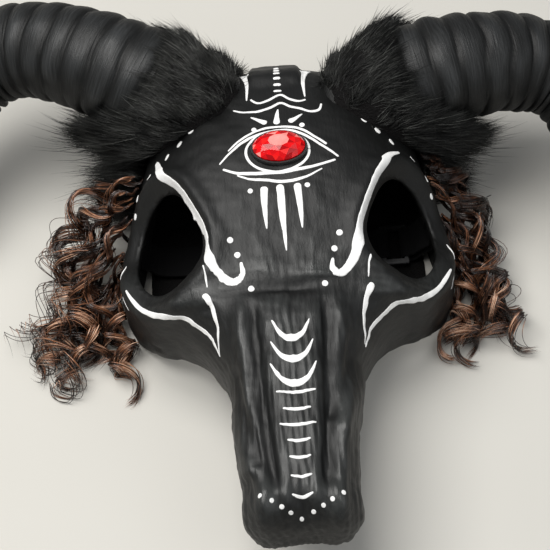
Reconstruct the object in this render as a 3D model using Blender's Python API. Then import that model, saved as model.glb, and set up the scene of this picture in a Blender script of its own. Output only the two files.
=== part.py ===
# Horned skull half mask, modelled lying on its back rim.
# Sizes are in millimetres and become metres when a mesh is made.
# +X is the right side seen from the muzzle end, -Y points along the muzzle, +Z is up.

import math

import bmesh
import bpy
import numpy as np
from mathutils import Matrix, Vector

for old in list(bpy.data.objects):
    bpy.data.objects.remove(old, do_unlink=True)
for old in list(bpy.data.meshes):
    bpy.data.meshes.remove(old)

MM = 0.001

# driving sizes
MUZZLE_LENGTH = 161.0
WALL = 3.0
GAP = 0.3
EYE_HALF_WIDTH = 30.0
EYE_HALF_HEIGHT = 34.0
EYE_RECESS = 10.0
BROW_RIM = 2.6
TUCK = 0.06
HORN_THICKNESS = 1.0
HORN_RIB = 1.3
HORN_RIB_COUNT = 21
COLLAR_DEPTH = 15.0
SCREW_RADIUS = 2.0
SCREW_HEAD_RADIUS = 4.2
SCREW_HEAD_HEIGHT = 2.2
SCREW_BITE = 24.0
PLATE_THICKNESS = 2.0
GEM_LENGTH = 34.0
GEM_WIDTH = 24.5
GEM_HEIGHT = 8.0
CUP_WALL = 1.0
CUP_HEIGHT = 2.6
PAD_THICKNESS = 8.0
LOCK_RADIUS = 8.0
WEFT_THICKNESS = 2.4
STRAP_WIDTH = 24.0
STRAP_THICKNESS = 1.6
STRAP_Y = 28.0
KEEPER_LENGTH = 9.0
KEEPER_WALL = 1.6
RING_BAR = 1.6
RIVET_RADIUS = 2.2
RIVET_HEAD = 4.5
HOOD_THICKNESS = 1.4
HOOD_HALF_WIDTH = 84.0
HOOD_HALF_LENGTH = 70.0

# the skull: one arch per row, from the back rim over the crown and down the muzzle
# columns: y, top z, half width, rim z, how far the rim sits from the top in y, squareness
ARCHES = np.array(
    [
        (134, -4, 68, -8, -42, 2.2),
        (140, 44, 78, -8, -40, 2.3),
        (136, 84, 88, -8, -34, 2.4),
        (110, 104, 96, -8, -20, 2.5),
        (72, 115, 102, -8, -7, 2.7),
        (33, 119, 106, -8, 0, 2.9),
        (0, 116, 112, -8, 0, 3.0),
        (-29, 108, 113.5, -3, 0, 3.0),
        (-54, 101.5, 98, 14, 4, 2.8),
        (-78, 101.5, 66, 30, 4, 2.7),
        (-102, 100.5, 46, 41, 0, 2.9),
        (-128, 99, 40, 48, 0, 3.2),
        (-158, 96.5, 37.5, 52, 0, 3.3),
        (-186, 93.5, 36.5, 54, 0, 3.2),
        (-203, 89.5, 37, 55, 5, 3.0),
        (-212, 77, 35.5, 55, 8, 2.9),
        (-215, 57, 29, 55.5, 8, 2.8),
    ],
    float,
)
LAST_ARCH = len(ARCHES) - 1
BROW_Y = -54.0
TIP_Y = BROW_Y - MUZZLE_LENGTH
DRAWN_MUZZLE = 161.0
beyond_brow = ARCHES[:, 0] < BROW_Y
ARCHES[beyond_brow, 0] = BROW_Y + (ARCHES[beyond_brow, 0] - BROW_Y) * MUZZLE_LENGTH / DRAWN_MUZZLE
ARCH_ROWS = 38
ARCH_COLUMNS = 30

EYE_CENTRE = np.array([81.0, -10.0, 83.0])
EYE_AXIS = np.array([0.60, -0.20, 0.775])
EYE_TILT = 20.0
EYE_SQUARE = 2.5

# horn centrelines, both written for the +X side: x, y, z, radius. The left horn sits a little higher.
HORN_RIGHT = np.array(
    [
        (54, 92, 78, 35),
        (73, 95, 94, 36),
        (94, 98, 103, 36),
        (117, 102, 106, 35),
        (142, 107, 104, 33.5),
        (168, 112, 97, 32),
        (191, 109, 88, 30),
        (207, 95, 78, 28),
        (215, 74, 67, 25.5),
        (219, 49, 56, 22.5),
        (222, 24, 46, 18.5),
        (227, 2, 37, 14),
        (234, -16, 31, 9),
        (242, -31, 28, 4),
    ],
    float,
)
HORN_LEFT = np.array(
    [
        (48, 94, 80, 35),
        (66, 99, 97, 36),
        (86, 106, 107, 36),
        (109, 117, 113, 35),
        (135, 130, 114, 33.5),
        (164, 143, 109, 32),
        (191, 146, 101, 30),
        (213, 137, 91, 28),
        (226, 118, 79, 25.5),
        (233, 93, 66, 22.5),
        (239, 69, 54, 18.5),
        (246, 46, 44, 14),
        (254, 28, 36, 9),
        (262, 14, 31, 4),
    ],
    float,
)
HORN_RINGS = 52
HORN_SIDES = 14

parts = bpy.data.collections.new("horned_skull_mask")
cutters = bpy.data.collections.new("cutters")
bpy.context.scene.collection.children.link(parts)
bpy.context.scene.collection.children.link(cutters)
root = bpy.data.objects.new("mask_root", None)
bpy.context.scene.collection.objects.link(root)


def make_material(name, colour, roughness, metallic=0.0):
    material = bpy.data.materials.new(name)
    material.use_nodes = True
    shader = material.node_tree.nodes["Principled BSDF"]
    shader.inputs["Base Color"].default_value = (*colour, 1.0)
    shader.inputs["Roughness"].default_value = roughness
    shader.inputs["Metallic"].default_value = metallic
    material.diffuse_color = (*colour, 1.0)
    return material


def add_object(bm, name, colour, roughness=0.6, metallic=0.0):
    """Turns a bmesh in millimetres into one named part with its own material."""
    bmesh.ops.remove_doubles(bm, verts=bm.verts, dist=0.001)
    bent = [f for f in bm.faces if len(f.verts) == 4]
    bmesh.ops.triangulate(bm, faces=bent, quad_method="SHORT_EDGE")
    bmesh.ops.recalc_face_normals(bm, faces=bm.faces)
    bmesh.ops.scale(bm, vec=(MM, MM, MM), verts=bm.verts)
    mesh = bpy.data.meshes.new(name)
    bm.to_mesh(mesh)
    bm.free()
    obj = bpy.data.objects.new(name, mesh)
    obj.parent = root
    if colour is None:
        cutters.objects.link(obj)
        obj.hide_render = True
        obj.display_type = "WIRE"
    else:
        parts.objects.link(obj)
        mesh.materials.append(make_material(name + "_mat", colour, roughness, metallic))
    return obj


def cut(obj, cutter, operation="DIFFERENCE"):
    modifier = obj.modifiers.new("cut_" + cutter.name, "BOOLEAN")
    modifier.operation = operation
    modifier.solver = "EXACT"
    modifier.object = cutter


def cubic(t, table):
    """Smooth curve through the rows of a table, at row numbers t."""
    count = len(table)
    row = np.clip(np.floor(t).astype(int), 0, count - 2)
    f = (t - row)[..., None]
    p0 = table[np.clip(row - 1, 0, count - 1)]
    p1 = table[row]
    p2 = table[row + 1]
    p3 = table[np.clip(row + 2, 0, count - 1)]
    a = 2 * p1
    b = p2 - p0
    c = 2 * p0 - 5 * p1 + 4 * p2 - p3
    d = 3 * p1 - p0 - 3 * p2 + p3
    return 0.5 * (a + b * f + c * f**2 + d * f**3)


def blend(low, high, value):
    s = np.clip((value - low) / (high - low), 0.0, 1.0)
    return s * s * (3.0 - 2.0 * s)


def bump(value, width):
    return np.exp(-((value / width) ** 2))


def unit(v):
    v = np.asarray(v, float)
    return v / np.maximum(np.linalg.norm(v, axis=-1, keepdims=True), 1e-9)


def arch_point(t, angle):
    """Point on the plain arched form. t is the arch number, angle runs from -90 to 90 degrees."""
    t, angle = np.broadcast_arrays(np.asarray(t, float), np.asarray(angle, float))
    y, top, half, rim, shift, square = np.moveaxis(cubic(t, ARCHES), -1, 0)
    s = np.sin(angle)
    c = np.maximum(np.cos(angle), 0.0)
    r = (np.abs(s) ** square + c**square) ** (-1.0 / square)
    height = c * r
    side = half * s * r * (1 - TUCK * (1 - height) ** 3)
    return np.stack([side, y + shift * (1 - height), rim + (top - rim) * height], -1)


def eye_frame():
    axis = unit(EYE_AXIS)
    up = unit(np.array([0.0, 1.0, 0.0]) - axis * axis[1])
    side = np.cross(up, axis)
    tilt = math.radians(EYE_TILT)
    across = side * math.cos(tilt) - up * math.sin(tilt)
    along = side * math.sin(tilt) + up * math.cos(tilt)
    return across, along, axis


def eye_ring(p):
    """1 on the edge of the eye opening, less inside it, more outside it."""
    across, along, axis = eye_frame()
    q = np.stack([np.abs(p[..., 0]), p[..., 1], p[..., 2]], -1) - EYE_CENTRE
    u = np.abs(q @ across) / EYE_HALF_WIDTH
    v = np.abs(q @ along) / EYE_HALF_HEIGHT
    return (u**EYE_SQUARE + v**EYE_SQUARE) ** (1 / EYE_SQUARE)


def segment_distance(p, a, b):
    a = np.array(a, float)
    b = np.array(b, float)
    ab = b - a
    s = np.clip(((p - a) @ ab) / (ab @ ab), 0.0, 1.0)
    return np.linalg.norm(p - (a + s[..., None] * ab), axis=-1)


def relief(p):
    """How far the sculpted form stands off the plain arch, along its normal."""
    x = np.abs(p[..., 0])
    y = p[..., 1]
    flat = np.stack([x, y], -1)
    muzzle = blend(BROW_Y - 12, BROW_Y - 30, y) * blend(TIP_Y + 1, TIP_Y + 15, y)
    out = 3.5 * blend(20, 15, x) * blend(92, 106, y) * blend(142, 132, y)
    out += 1.6 * bump(y + 48, 8) * bump(x, 34)
    out -= 2.8 * bump(y + 62, 4.5) * bump(x, 30)
    out += 1.8 * muzzle * bump(x, 13)
    out -= 2.2 * muzzle * bump(x - 19, 5)
    out += 1.8 * muzzle * bump(x - 28, 5)
    out += 3.2 * bump(segment_distance(flat, (17, TIP_Y + 18), (20, TIP_Y + 9)), 10)
    out -= 2.6 * bump(x, 6) * blend(TIP_Y + 23, TIP_Y + 9, y)
    out += 1.8 * bump(segment_distance(flat, (54, -64), (104, -50)), 8)
    out -= 1.8 * bump(segment_distance(flat, (50, -80), (80, -68)), 7)
    return out


def eye_relief(p):
    ring = eye_ring(p)
    rim = BROW_RIM * bump(ring - 1.40, 0.15)
    hollow = EYE_RECESS * blend(1.34, 0.94, ring)
    return rim, hollow


def sculpt(t, angle):
    t = np.asarray(t, float)
    angle = np.asarray(angle, float)
    p = arch_point(t, angle)
    n = arch_normal(t, angle)
    rim, hollow = eye_relief(p)
    mirror = np.ones_like(p)
    mirror[..., 0] = np.sign(p[..., 0])
    axis = unit(EYE_AXIS) * mirror
    return p + n * (relief(p) + rim)[..., None] - axis * hollow[..., None]


def normal_of(shape, t, angle, step_t=0.04, step_a=0.02):
    low_t = np.clip(t - step_t, 0, LAST_ARCH)
    high_t = np.clip(t + step_t, 0, LAST_ARCH)
    low_a = np.clip(angle - step_a, -math.pi / 2, math.pi / 2)
    high_a = np.clip(angle + step_a, -math.pi / 2, math.pi / 2)
    along = shape(high_t, angle) - shape(low_t, angle)
    across = shape(t, high_a) - shape(t, low_a)
    return unit(np.cross(along, across))


def arch_normal(t, angle):
    return normal_of(arch_point, t, angle)


def skin(t, angle, offset=0.0):
    """Sculpted surface moved outward by offset, or inward if it is negative."""
    t, angle = np.broadcast_arrays(np.asarray(t, float), np.asarray(angle, float))
    return sculpt(t, angle) + normal_of(sculpt, t, angle) * offset


def grid_solid(outer, inner):
    """Closed solid between two grids of points of the same size."""
    bm = bmesh.new()
    rows, columns = outer.shape[:2]
    skins = []
    for grid in (outer, inner):
        skins.append([[bm.verts.new(grid[i, j]) for j in range(columns)] for i in range(rows)])
    for verts, flip in ((skins[0], False), (skins[1], True)):
        for i in range(rows - 1):
            for j in range(columns - 1):
                face = [verts[i][j], verts[i + 1][j], verts[i + 1][j + 1], verts[i][j + 1]]
                bm.faces.new(face[::-1] if flip else face)
    edge = [(i, 0) for i in range(rows)]
    edge += [(rows - 1, j) for j in range(1, columns)]
    edge += [(i, columns - 1) for i in range(rows - 2, -1, -1)]
    edge += [(0, j) for j in range(columns - 2, 0, -1)]
    for (i, j), (k, m) in zip(edge, edge[1:] + edge[:1]):
        bm.faces.new([skins[0][i][j], skins[1][i][j], skins[1][k][m], skins[0][k][m]])
    return bm


def skin_patch(t_low, t_high, a_low, a_high, offset_out, offset_in, rows, columns):
    """Solid plate that follows the inside or outside of the skull."""
    t = np.linspace(t_low, t_high, rows)[:, None]
    a = np.radians(np.linspace(a_low, a_high, columns))[None, :]
    return grid_solid(skin(t, a, offset_out), skin(t, a, offset_in))


def frames_along(points):
    """Side and up directions for each point of a path, turned as little as possible."""
    points = np.asarray(points, float)
    tangent = unit(np.gradient(points, axis=0))
    up = unit(np.cross(tangent[0], np.cross([0.0, 0.0, 1.0], tangent[0]) + 1e-6))
    ups = []
    for direction in tangent:
        up = unit(up - direction * (up @ direction))
        ups.append(up)
    ups = np.array(ups)
    return unit(np.cross(tangent, ups)), ups, tangent


def tube(points, radii, sides, profile=None):
    """Closed tube round a path, with rounded poles at both ends."""
    points = np.asarray(points, float)
    side, up, tangent = frames_along(points)
    bm = bmesh.new()
    rings = []
    turn = np.arange(sides) * 2 * math.pi / sides
    for i, point in enumerate(points):
        reach = radii[i] * (np.ones(sides) if profile is None else profile(i, turn, side[i], up[i]))
        ring = point + (side[i] * np.cos(turn)[:, None] + up[i] * np.sin(turn)[:, None]) * reach[:, None]
        rings.append([bm.verts.new(v) for v in ring])
    for low, high in zip(rings, rings[1:]):
        for k in range(sides):
            bm.faces.new([low[k], low[(k + 1) % sides], high[(k + 1) % sides], high[k]])
    for ring, point, way in ((rings[0], points[0], -tangent[0]), (rings[-1], points[-1], tangent[-1])):
        pole = bm.verts.new(point + way * 0.4)
        for k in range(sides):
            bm.faces.new([ring[k], ring[(k + 1) % sides], pole])
    return bm


def mirrored(bm, side):
    if side < 0:
        bmesh.ops.scale(bm, vec=(-1, 1, 1), verts=bm.verts)
        bmesh.ops.reverse_faces(bm, faces=bm.faces)
    return bm


def skull_form(name, inflate, rows):
    """Filled skull, a little larger than the shell, used to shape what sits on it."""
    t = np.linspace(0, LAST_ARCH, ARCH_ROWS)[:rows, None]
    a = np.radians(np.linspace(-90, 90, ARCH_COLUMNS + 1))[None, :]
    grid = skin(t, a, inflate)
    bm = bmesh.new()
    rows, columns = grid.shape[:2]
    verts = [[bm.verts.new(grid[i, j]) for j in range(columns)] for i in range(rows)]
    for i in range(rows - 1):
        for j in range(columns - 1):
            bm.faces.new([verts[i][j], verts[i + 1][j], verts[i + 1][j + 1], verts[i][j + 1]])
    core = bm.verts.new((0.0, 20.0, -60.0))
    edge = [(i, 0) for i in range(rows)]
    edge += [(rows - 1, j) for j in range(1, columns)]
    edge += [(i, columns - 1) for i in range(rows - 2, -1, -1)]
    edge += [(0, j) for j in range(columns - 2, 0, -1)]
    for (i, j), (k, m) in zip(edge, edge[1:] + edge[:1]):
        bm.faces.new([verts[i][j], verts[k][m], core])
    return add_object(bm, name, None)


def rod(name, start, end, radius, sides, colour, roughness=0.4, metallic=0.0, radius_end=None):
    """Straight round bar between two points."""
    start = Vector(start)
    end = Vector(end)
    bm = bmesh.new()
    bmesh.ops.create_cone(
        bm,
        cap_ends=True,
        segments=sides,
        radius1=radius,
        radius2=radius if radius_end is None else radius_end,
        depth=(end - start).length,
    )
    turn = Vector((0, 0, 1)).rotation_difference(end - start).to_matrix().to_4x4()
    bm.transform(Matrix.Translation((start + end) / 2) @ turn)
    if name is None:
        return bm
    return add_object(bm, name, colour, roughness, metallic)


def box(name, low, high, colour, roughness=0.5, metallic=0.0, bevel=0.0):
    bm = bmesh.new()
    bmesh.ops.create_cube(bm, size=1.0)
    size = [b - a for a, b in zip(low, high)]
    bmesh.ops.scale(bm, vec=size, verts=bm.verts)
    bmesh.ops.translate(bm, vec=[(a + b) / 2 for a, b in zip(low, high)], verts=bm.verts)
    if bevel:
        bmesh.ops.bevel(
            bm, geom=list(bm.edges), offset=bevel, segments=1, profile=0.5, affect="EDGES", material=-1
        )
    return add_object(bm, name, colour, roughness, metallic)


BLACK = (0.025, 0.026, 0.025)
STEEL = (0.55, 0.55, 0.56)

# skull shell
rows_t = np.linspace(0, LAST_ARCH, ARCH_ROWS)[:, None]
columns_a = np.radians(np.linspace(-90, 90, ARCH_COLUMNS + 1))[None, :]
shell = add_object(
    grid_solid(skin(rows_t, columns_a), skin(rows_t, columns_a, -WALL)), "skull_shell", BLACK, 0.62
)
floor_cutter = box("floor_cutter", (-200, -300, -60), (200, 300, 0), None)
cut(shell, floor_cutter)
across, along, eye_axis = eye_frame()
bm = bmesh.new()
for side in (1, -1):
    rings = []
    for depth, grow in ((-45.0, 0.86), (-10.0, 0.95), (30.0, 1.0)):
        turn = (np.arange(28) + 0.37) * 2 * math.pi / 28
        squared = np.abs(np.cos(turn)) ** EYE_SQUARE + np.abs(np.sin(turn)) ** EYE_SQUARE
        grow = grow * squared[:, None] ** (-1 / EYE_SQUARE)
        ring = (
            EYE_CENTRE
            + eye_axis * depth
            + across * np.cos(turn)[:, None] * EYE_HALF_WIDTH * grow
            + along * np.sin(turn)[:, None] * EYE_HALF_HEIGHT * grow
        ) * np.array([side, 1, 1])
        rings.append([bm.verts.new(v) for v in ring])
    for lower, upper in zip(rings, rings[1:]):
        for k in range(28):
            bm.faces.new([lower[k], lower[(k + 1) % 28], upper[(k + 1) % 28], upper[k]])
    for ring in (rings[0], rings[-1]):
        pole = bm.verts.new(sum((v.co for v in ring), Vector()) / 28)
        for k in range(28):
            bm.faces.new([ring[k], ring[(k + 1) % 28], pole])
cut(shell, add_object(bm, "eye_cutter", None))

seat_form = skull_form("seat_form", GAP + 0.15, 22)

# horns, each with the two screw bores in its base
def rib_wave(share):
    """Height of the ribs at a share of the way from the base to the tip."""
    swing = 0.5 - 0.5 * np.cos(2 * math.pi * share * HORN_RIB_COUNT)
    return HORN_RIB * blend(1.0, 0.72, share) * swing**0.6


class HornPath:
    """Evenly spaced rows along one horn, and places at a distance from its base."""

    def __init__(self, table):
        self.fine = cubic(np.linspace(0, len(table) - 1, 400), table)
        self.fine[:, 3] *= HORN_THICKNESS
        step = np.linalg.norm(np.diff(self.fine[:, :3], axis=0), axis=1)
        self.run = np.concatenate([[0], np.cumsum(step)])
        self.rows = self.at(np.linspace(0, self.run[-1], HORN_RINGS))
        self.ribbed = self.rows[:, 3] + rib_wave(np.linspace(0, 1, HORN_RINGS))
        self.way = unit(self.at(26.0)[:3] - self.at(6.0)[:3])

    def at(self, distance):
        return np.stack([np.interp(distance, self.run, self.fine[:, k]) for k in range(4)], -1)


HORNS = {"right": HornPath(HORN_RIGHT), "left": HornPath(HORN_LEFT)}
for side, label in ((1, "right"), (-1, "left")):
    path = HORNS[label]
    horn = add_object(
        mirrored(tube(path.rows[:, :3], path.ribbed, HORN_SIDES), side),
        "horn_" + label,
        (0.045, 0.045, 0.047),
        0.42,
    )
    cut(horn, seat_form)
    centre_t = 3.55
    plate_face = -WALL - GAP - 0.55
    plate = add_object(
        mirrored(
            skin_patch(3.0, 4.1, 29, 57, plate_face, plate_face - PLATE_THICKNESS, 7, 7),
            side,
        ),
        "horn_plate_" + label,
        STEEL,
        0.35,
        1.0,
    )
    for number, angle in ((1, 38.0), (2, 48.0)):
        t = np.array(centre_t)
        a = np.array(math.radians(angle))
        foot = skin(t, a, plate_face - PLATE_THICKNESS)
        way = unit(path.way * 0.5 + normal_of(sculpt, t, a) * 0.5)
        shank_end = foot + way * (PLATE_THICKNESS + WALL + SCREW_BITE)
        head_top = foot - way * 1.9
        head_low = foot - way * (1.9 + SCREW_HEAD_HEIGHT)
        bm = rod(None, shank_end, head_top - way * 0.4, SCREW_RADIUS, 10, None)
        screw = add_object(
            mirrored(bm, side),
            "horn_screw_" + label + "_" + str(number),
            (0.3, 0.3, 0.31),
            0.35,
            1.0,
        )
        head = add_object(
            mirrored(rod(None, head_top, head_low, SCREW_HEAD_RADIUS, 12, None), side),
            "screw_head_" + label + "_" + str(number),
            None,
        )
        cut(screw, head, "UNION")
        bm = rod(None, head_top - way * 3, shank_end + way * 1.0, SCREW_RADIUS + GAP, 10, None)
        bore = add_object(
            mirrored(bm, side),
            "screw_bore_" + label + "_" + str(number),
            None,
        )
        cut(shell, bore)
        cut(horn, bore)
        cut(plate, bore)

# fur collar round each horn base, and a fur pad on each temple
collar_from = 8.0
collar_to = 82.0
for side, label in ((1, "right"), (-1, "left")):
    path = HORNS[label]
    distance = np.linspace(collar_from, collar_to, 12)
    centre = path.at(distance)[:, :3]
    radius = path.at(distance)[:, 3]
    share = (distance - collar_from) / (collar_to - collar_from)
    outer = radius + HORN_RIB + GAP + 2.0 + (COLLAR_DEPTH - 2.0) * np.sqrt(np.clip(1 - share**2.2, 0, 1))
    collar = add_object(
        mirrored(tube(centre, outer, 18), side), "fur_collar_" + label, (0.012, 0.012, 0.013), 0.9
    )
    clear = np.linspace(0, collar_to + 14, 20)
    clear_centre = path.at(clear)[:, :3]
    clear_radius = path.at(clear)[:, 3] + HORN_RIB + GAP + 0.6
    horn_form = add_object(mirrored(tube(clear_centre, clear_radius, 20), side), "horn_form_" + label, None)
    cut(collar, seat_form)
    cut(collar, horn_form)
    reach = np.linspace(collar_from - 5.0, collar_to + 4.0, 14)
    form_radius = np.interp(reach, distance, outer) + GAP + 1.2
    collar_form = add_object(
        mirrored(tube(path.at(reach)[:, :3], form_radius, 18), side), "collar_form_" + label, None
    )
    t = np.linspace(3.2, 4.7, 11)[:, None]
    inner_edge = np.interp(t[:, 0], [3.2, 3.9, 4.7], [66, 62, 66])
    low = inner_edge[:, None]
    across_share = np.linspace(0, 1, 9)[None, :]
    a = np.radians(low + (84.0 - low) * across_share)
    swell = np.sin(np.pi * np.clip((t - 3.2) / 1.5, 0, 1)) ** 0.6 * np.sin(np.pi * across_share) ** 0.6
    top = skin(t, a) + normal_of(sculpt, *np.broadcast_arrays(t, a)) * (GAP + 2.5 + 10.0 * swell)[..., None]
    temple = add_object(
        mirrored(grid_solid(top, skin(t, a, -1.2)), side), "fur_temple_" + label, (0.012, 0.012, 0.013), 0.9
    )
    cut(temple, seat_form)
    cut(temple, collar_form)

# forehead gem in its cup
gem_spot = skin(np.array(5.0), np.array(0.0))
gem_up = normal_of(sculpt, np.array(5.0), np.array(0.0))
gem_side = np.array([1.0, 0.0, 0.0])
gem_along = np.cross(gem_up, gem_side)


def oval(scale, height, sides, phase=0.0, grow=0.0):
    turn = (np.arange(sides) + phase) * 2 * math.pi / sides
    reach_x = np.cos(turn) * (GEM_LENGTH / 2 * scale + grow)
    reach_y = np.sin(turn) * (GEM_WIDTH / 2 * scale + grow)
    return gem_spot + gem_up * height + gem_side * reach_x[:, None] + gem_along * reach_y[:, None]


def stacked(rings):
    """Closed solid from rings of the same count, flat at both ends."""
    bm = bmesh.new()
    loops = [[bm.verts.new(v) for v in ring] for ring in rings]
    for low, high in zip(loops, loops[1:]):
        for k in range(len(low)):
            bm.faces.new([low[k], low[(k + 1) % len(low)], high[(k + 1) % len(low)], high[k]])
    bm.faces.new(loops[0][::-1])
    bm.faces.new(loops[-1])
    return bm


cup_grow = GAP + 0.1 + CUP_WALL
cup = add_object(
    stacked([oval(1, -2.5, 28, grow=cup_grow + 0.3), oval(1, CUP_HEIGHT, 28, grow=cup_grow)]),
    "gem_cup",
    (0.08, 0.08, 0.085),
    0.4,
)
cut(cup, seat_form)
pocket = add_object(
    stacked([oval(1, 1.2, 28, grow=GAP + 0.1), oval(1, 9.0, 28, grow=GAP + 0.1)]), "gem_pocket", None
)
cut(cup, pocket)
bm = bmesh.new()
for ring in (
    oval(0.96, 1.6, 16),
    oval(1.0, 2.2, 16),
    oval(1.0, 3.4, 16),
    oval(0.80, 1.6 + GEM_HEIGHT * 0.62, 16, 0.5),
    oval(0.46, 1.6 + GEM_HEIGHT, 8, 0.5),
):
    for point in ring:
        bm.verts.new(point)
bmesh.ops.convex_hull(bm, input=bm.verts)
add_object(bm, "forehead_gem", (0.62, 0.01, 0.015), 0.08)

# foam pads inside the shell
FOAM = (0.05, 0.05, 0.052)
inside = -WALL - GAP - 0.5
add_object(
    skin_patch(4.5, 5.75, -21, 21, inside, inside - PAD_THICKNESS, 8, 10), "pad_forehead", FOAM, 0.95
)
add_object(
    skin_patch(7.7, 8.6, -22, 22, inside - 1.0, inside - 1.0 - PAD_THICKNESS, 7, 9), "pad_nose", FOAM, 0.95
)
for side, label in ((1, "right"), (-1, "left")):
    add_object(
        mirrored(skin_patch(6.75, 7.7, 66, 80, inside, inside - PAD_THICKNESS, 6, 5), side),
        "pad_cheek_" + label,
        FOAM,
        0.95,
    )

# hair: a sewn weft on each temple with four hanging locks
HAIR = (0.09, 0.035, 0.015)
LOCKS = (
    ((122, 54, 48), (134, 48, 42), (149, 36, 29), (159, 19, 16), (160, 0, 9), (157, -18, 8)),
    ((121, 38, 42), (133, 28, 35), (144, 10, 23), (147, -10, 12), (144, -29, 8), (149, -48, 8)),
    ((121, 21, 32), (128, 9, 23), (133, -9, 13), (132, -29, 8), (127, -48, 7.5), (131, -68, 7.5)),
    ((121, 0, 17), (122, -15, 10), (120, -31, 7.5), (114, -48, 7.5), (109, -64, 7.5), (112, -80, 7.5)),
)
for side, label in ((1, "right"), (-1, "left")):
    weft = add_object(
        mirrored(skin_patch(5.45, 6.45, 76, 83.5, GAP + WEFT_THICKNESS, -1.2, 6, 4), side),
        "hair_weft_" + label,
        (0.02, 0.02, 0.02),
        0.9,
    )
    cut(weft, seat_form)
    for number, path in enumerate(LOCKS, 1):
        table = np.array(path, float)
        spots = cubic(np.linspace(0, len(path) - 1, 13), table)
        share = np.linspace(0, 1, 13)
        girth = LOCK_RADIUS * 0.72 * (0.55 + 0.45 * np.sin(np.pi * np.clip(share * 1.1, 0, 1)) ** 0.5)
        add_object(
            mirrored(tube(spots, girth, 8), side), "hair_lock_" + label + "_" + str(number), HAIR, 0.55
        )

# head strap: a webbing band riveted to the left wall, doubled back through a ring on the right
WEB = (0.03, 0.03, 0.032)
floor_z = GAP + HOOD_THICKNESS + 3.9
fold = STRAP_THICKNESS + 0.4
ring_x = 68.0
ring_far = 84.0
bend = RING_BAR * 1.42 + 0.35 + STRAP_THICKNESS / 2
bar_z = floor_z + bend


def wall_row(angle, offset, side):
    """Both faces of the band where it follows the inner wall."""
    face = []
    for depth in (offset, offset - STRAP_THICKNESS):
        pair = []
        for edge in (-1, 1):
            t = np.array(5.0 + (33.0 - (STRAP_Y + edge * STRAP_WIDTH / 2)) / 33.0)
            point = skin(t, np.array(math.radians(angle)), depth)
            pair.append(point * np.array([side, 1, 1]))
        face.append(pair)
    return face


def band(head_rows, path, tail_rows, hand=1):
    """Webbing band: rows on a wall, then a free path in x and z, then rows on a wall."""
    rows = list(head_rows)
    path = np.array(path, float)
    if len(path):
        way = unit(np.gradient(path, axis=0))
        lift = np.stack([-way[:, 1], way[:, 0]], -1) * hand * STRAP_THICKNESS / 2
        for spot, up in zip(path, lift):
            face = []
            for point in (spot - up, spot + up):
                face.append(
                    [
                        np.array([point[0], STRAP_Y - STRAP_WIDTH / 2, point[1]]),
                        np.array([point[0], STRAP_Y + STRAP_WIDTH / 2, point[1]]),
                    ]
                )
            rows.append(face)
    rows += list(tail_rows)
    outer = np.array([row[0] for row in rows])
    inner = np.array([row[1] for row in rows])
    return grid_solid(outer, inner)


def arc(x, z, radius, start, end, count):
    turn = np.radians(np.linspace(start, end, count))
    return [(x + radius * math.cos(v), z + radius * math.sin(v)) for v in turn]


wall_offset = -WALL - GAP - 0.8
left_wall = [wall_row(angle, wall_offset, -1) for angle in (66, 69, 72, 75, 78)]
path = [(-95, 14), (-91.5, floor_z + 3.8), (-85.5, floor_z + 1.0), (-78, floor_z), (-40, floor_z)]
path += [(0, floor_z), (56, floor_z)]
path += arc(ring_x, bar_z, bend, -90, 90, 11)
path += [(65, bar_z + bend - 0.6), (60, floor_z + fold + 2.0), (55, floor_z + fold + 0.2)]
path += [(51, floor_z + fold), (30, floor_z + fold)]
path += [(5, floor_z + fold)]
strap = add_object(band(left_wall, path, []), "head_strap", WEB, 0.85)

near = [wall_row(angle, wall_offset, 1) for angle in (66, 69, 72, 75, 78)]
path = [(95, 13.4), (91.5, floor_z + 3.2), (88.5, floor_z + 0.3)]
path += arc(ring_far, bar_z, bend, -90, -270, 11)
path += [(88, bar_z + bend + 1.0), (91.2, bar_z + bend + 4.2)]
far = [wall_row(angle, wall_offset - fold, 1)[::-1] for angle in (75, 72, 69, 66)]
tab = add_object(band(near, path, far, -1), "strap_tab_right", WEB, 0.85)

half = STRAP_WIDTH / 2
ring_low = (ring_x - RING_BAR, STRAP_Y - half - 1.0 - 2 * RING_BAR, bar_z - RING_BAR)
ring_high = (ring_far + RING_BAR, STRAP_Y + half + 1.0 + 2 * RING_BAR, bar_z + RING_BAR)
ring = box("strap_ring", ring_low, ring_high, STEEL, 0.3, 1.0, bevel=0.9)
ring_hole = box(
    "ring_hole",
    (ring_x + RING_BAR, STRAP_Y - half - 1.0, bar_z - 6),
    (ring_far - RING_BAR, STRAP_Y + half + 1.0, bar_z + 6),
    None,
)
cut(ring, ring_hole)

keeper_x = 28.0
low_z = floor_z - STRAP_THICKNESS / 2 - 0.35
high_z = floor_z + fold + STRAP_THICKNESS / 2 + 0.35
keeper = box(
    "strap_keeper",
    (keeper_x - KEEPER_LENGTH / 2, STRAP_Y - half - 0.5 - KEEPER_WALL, low_z - KEEPER_WALL),
    (keeper_x + KEEPER_LENGTH / 2, STRAP_Y + half + 0.5 + KEEPER_WALL, high_z + KEEPER_WALL),
    (0.02, 0.02, 0.02),
    0.4,
    0.0,
    bevel=0.5,
)
keeper_hole = box(
    "keeper_hole",
    (keeper_x - 40, STRAP_Y - half - 0.5, low_z),
    (keeper_x + 40, STRAP_Y + half + 0.5, high_z),
    None,
)
cut(keeper, keeper_hole)

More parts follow.
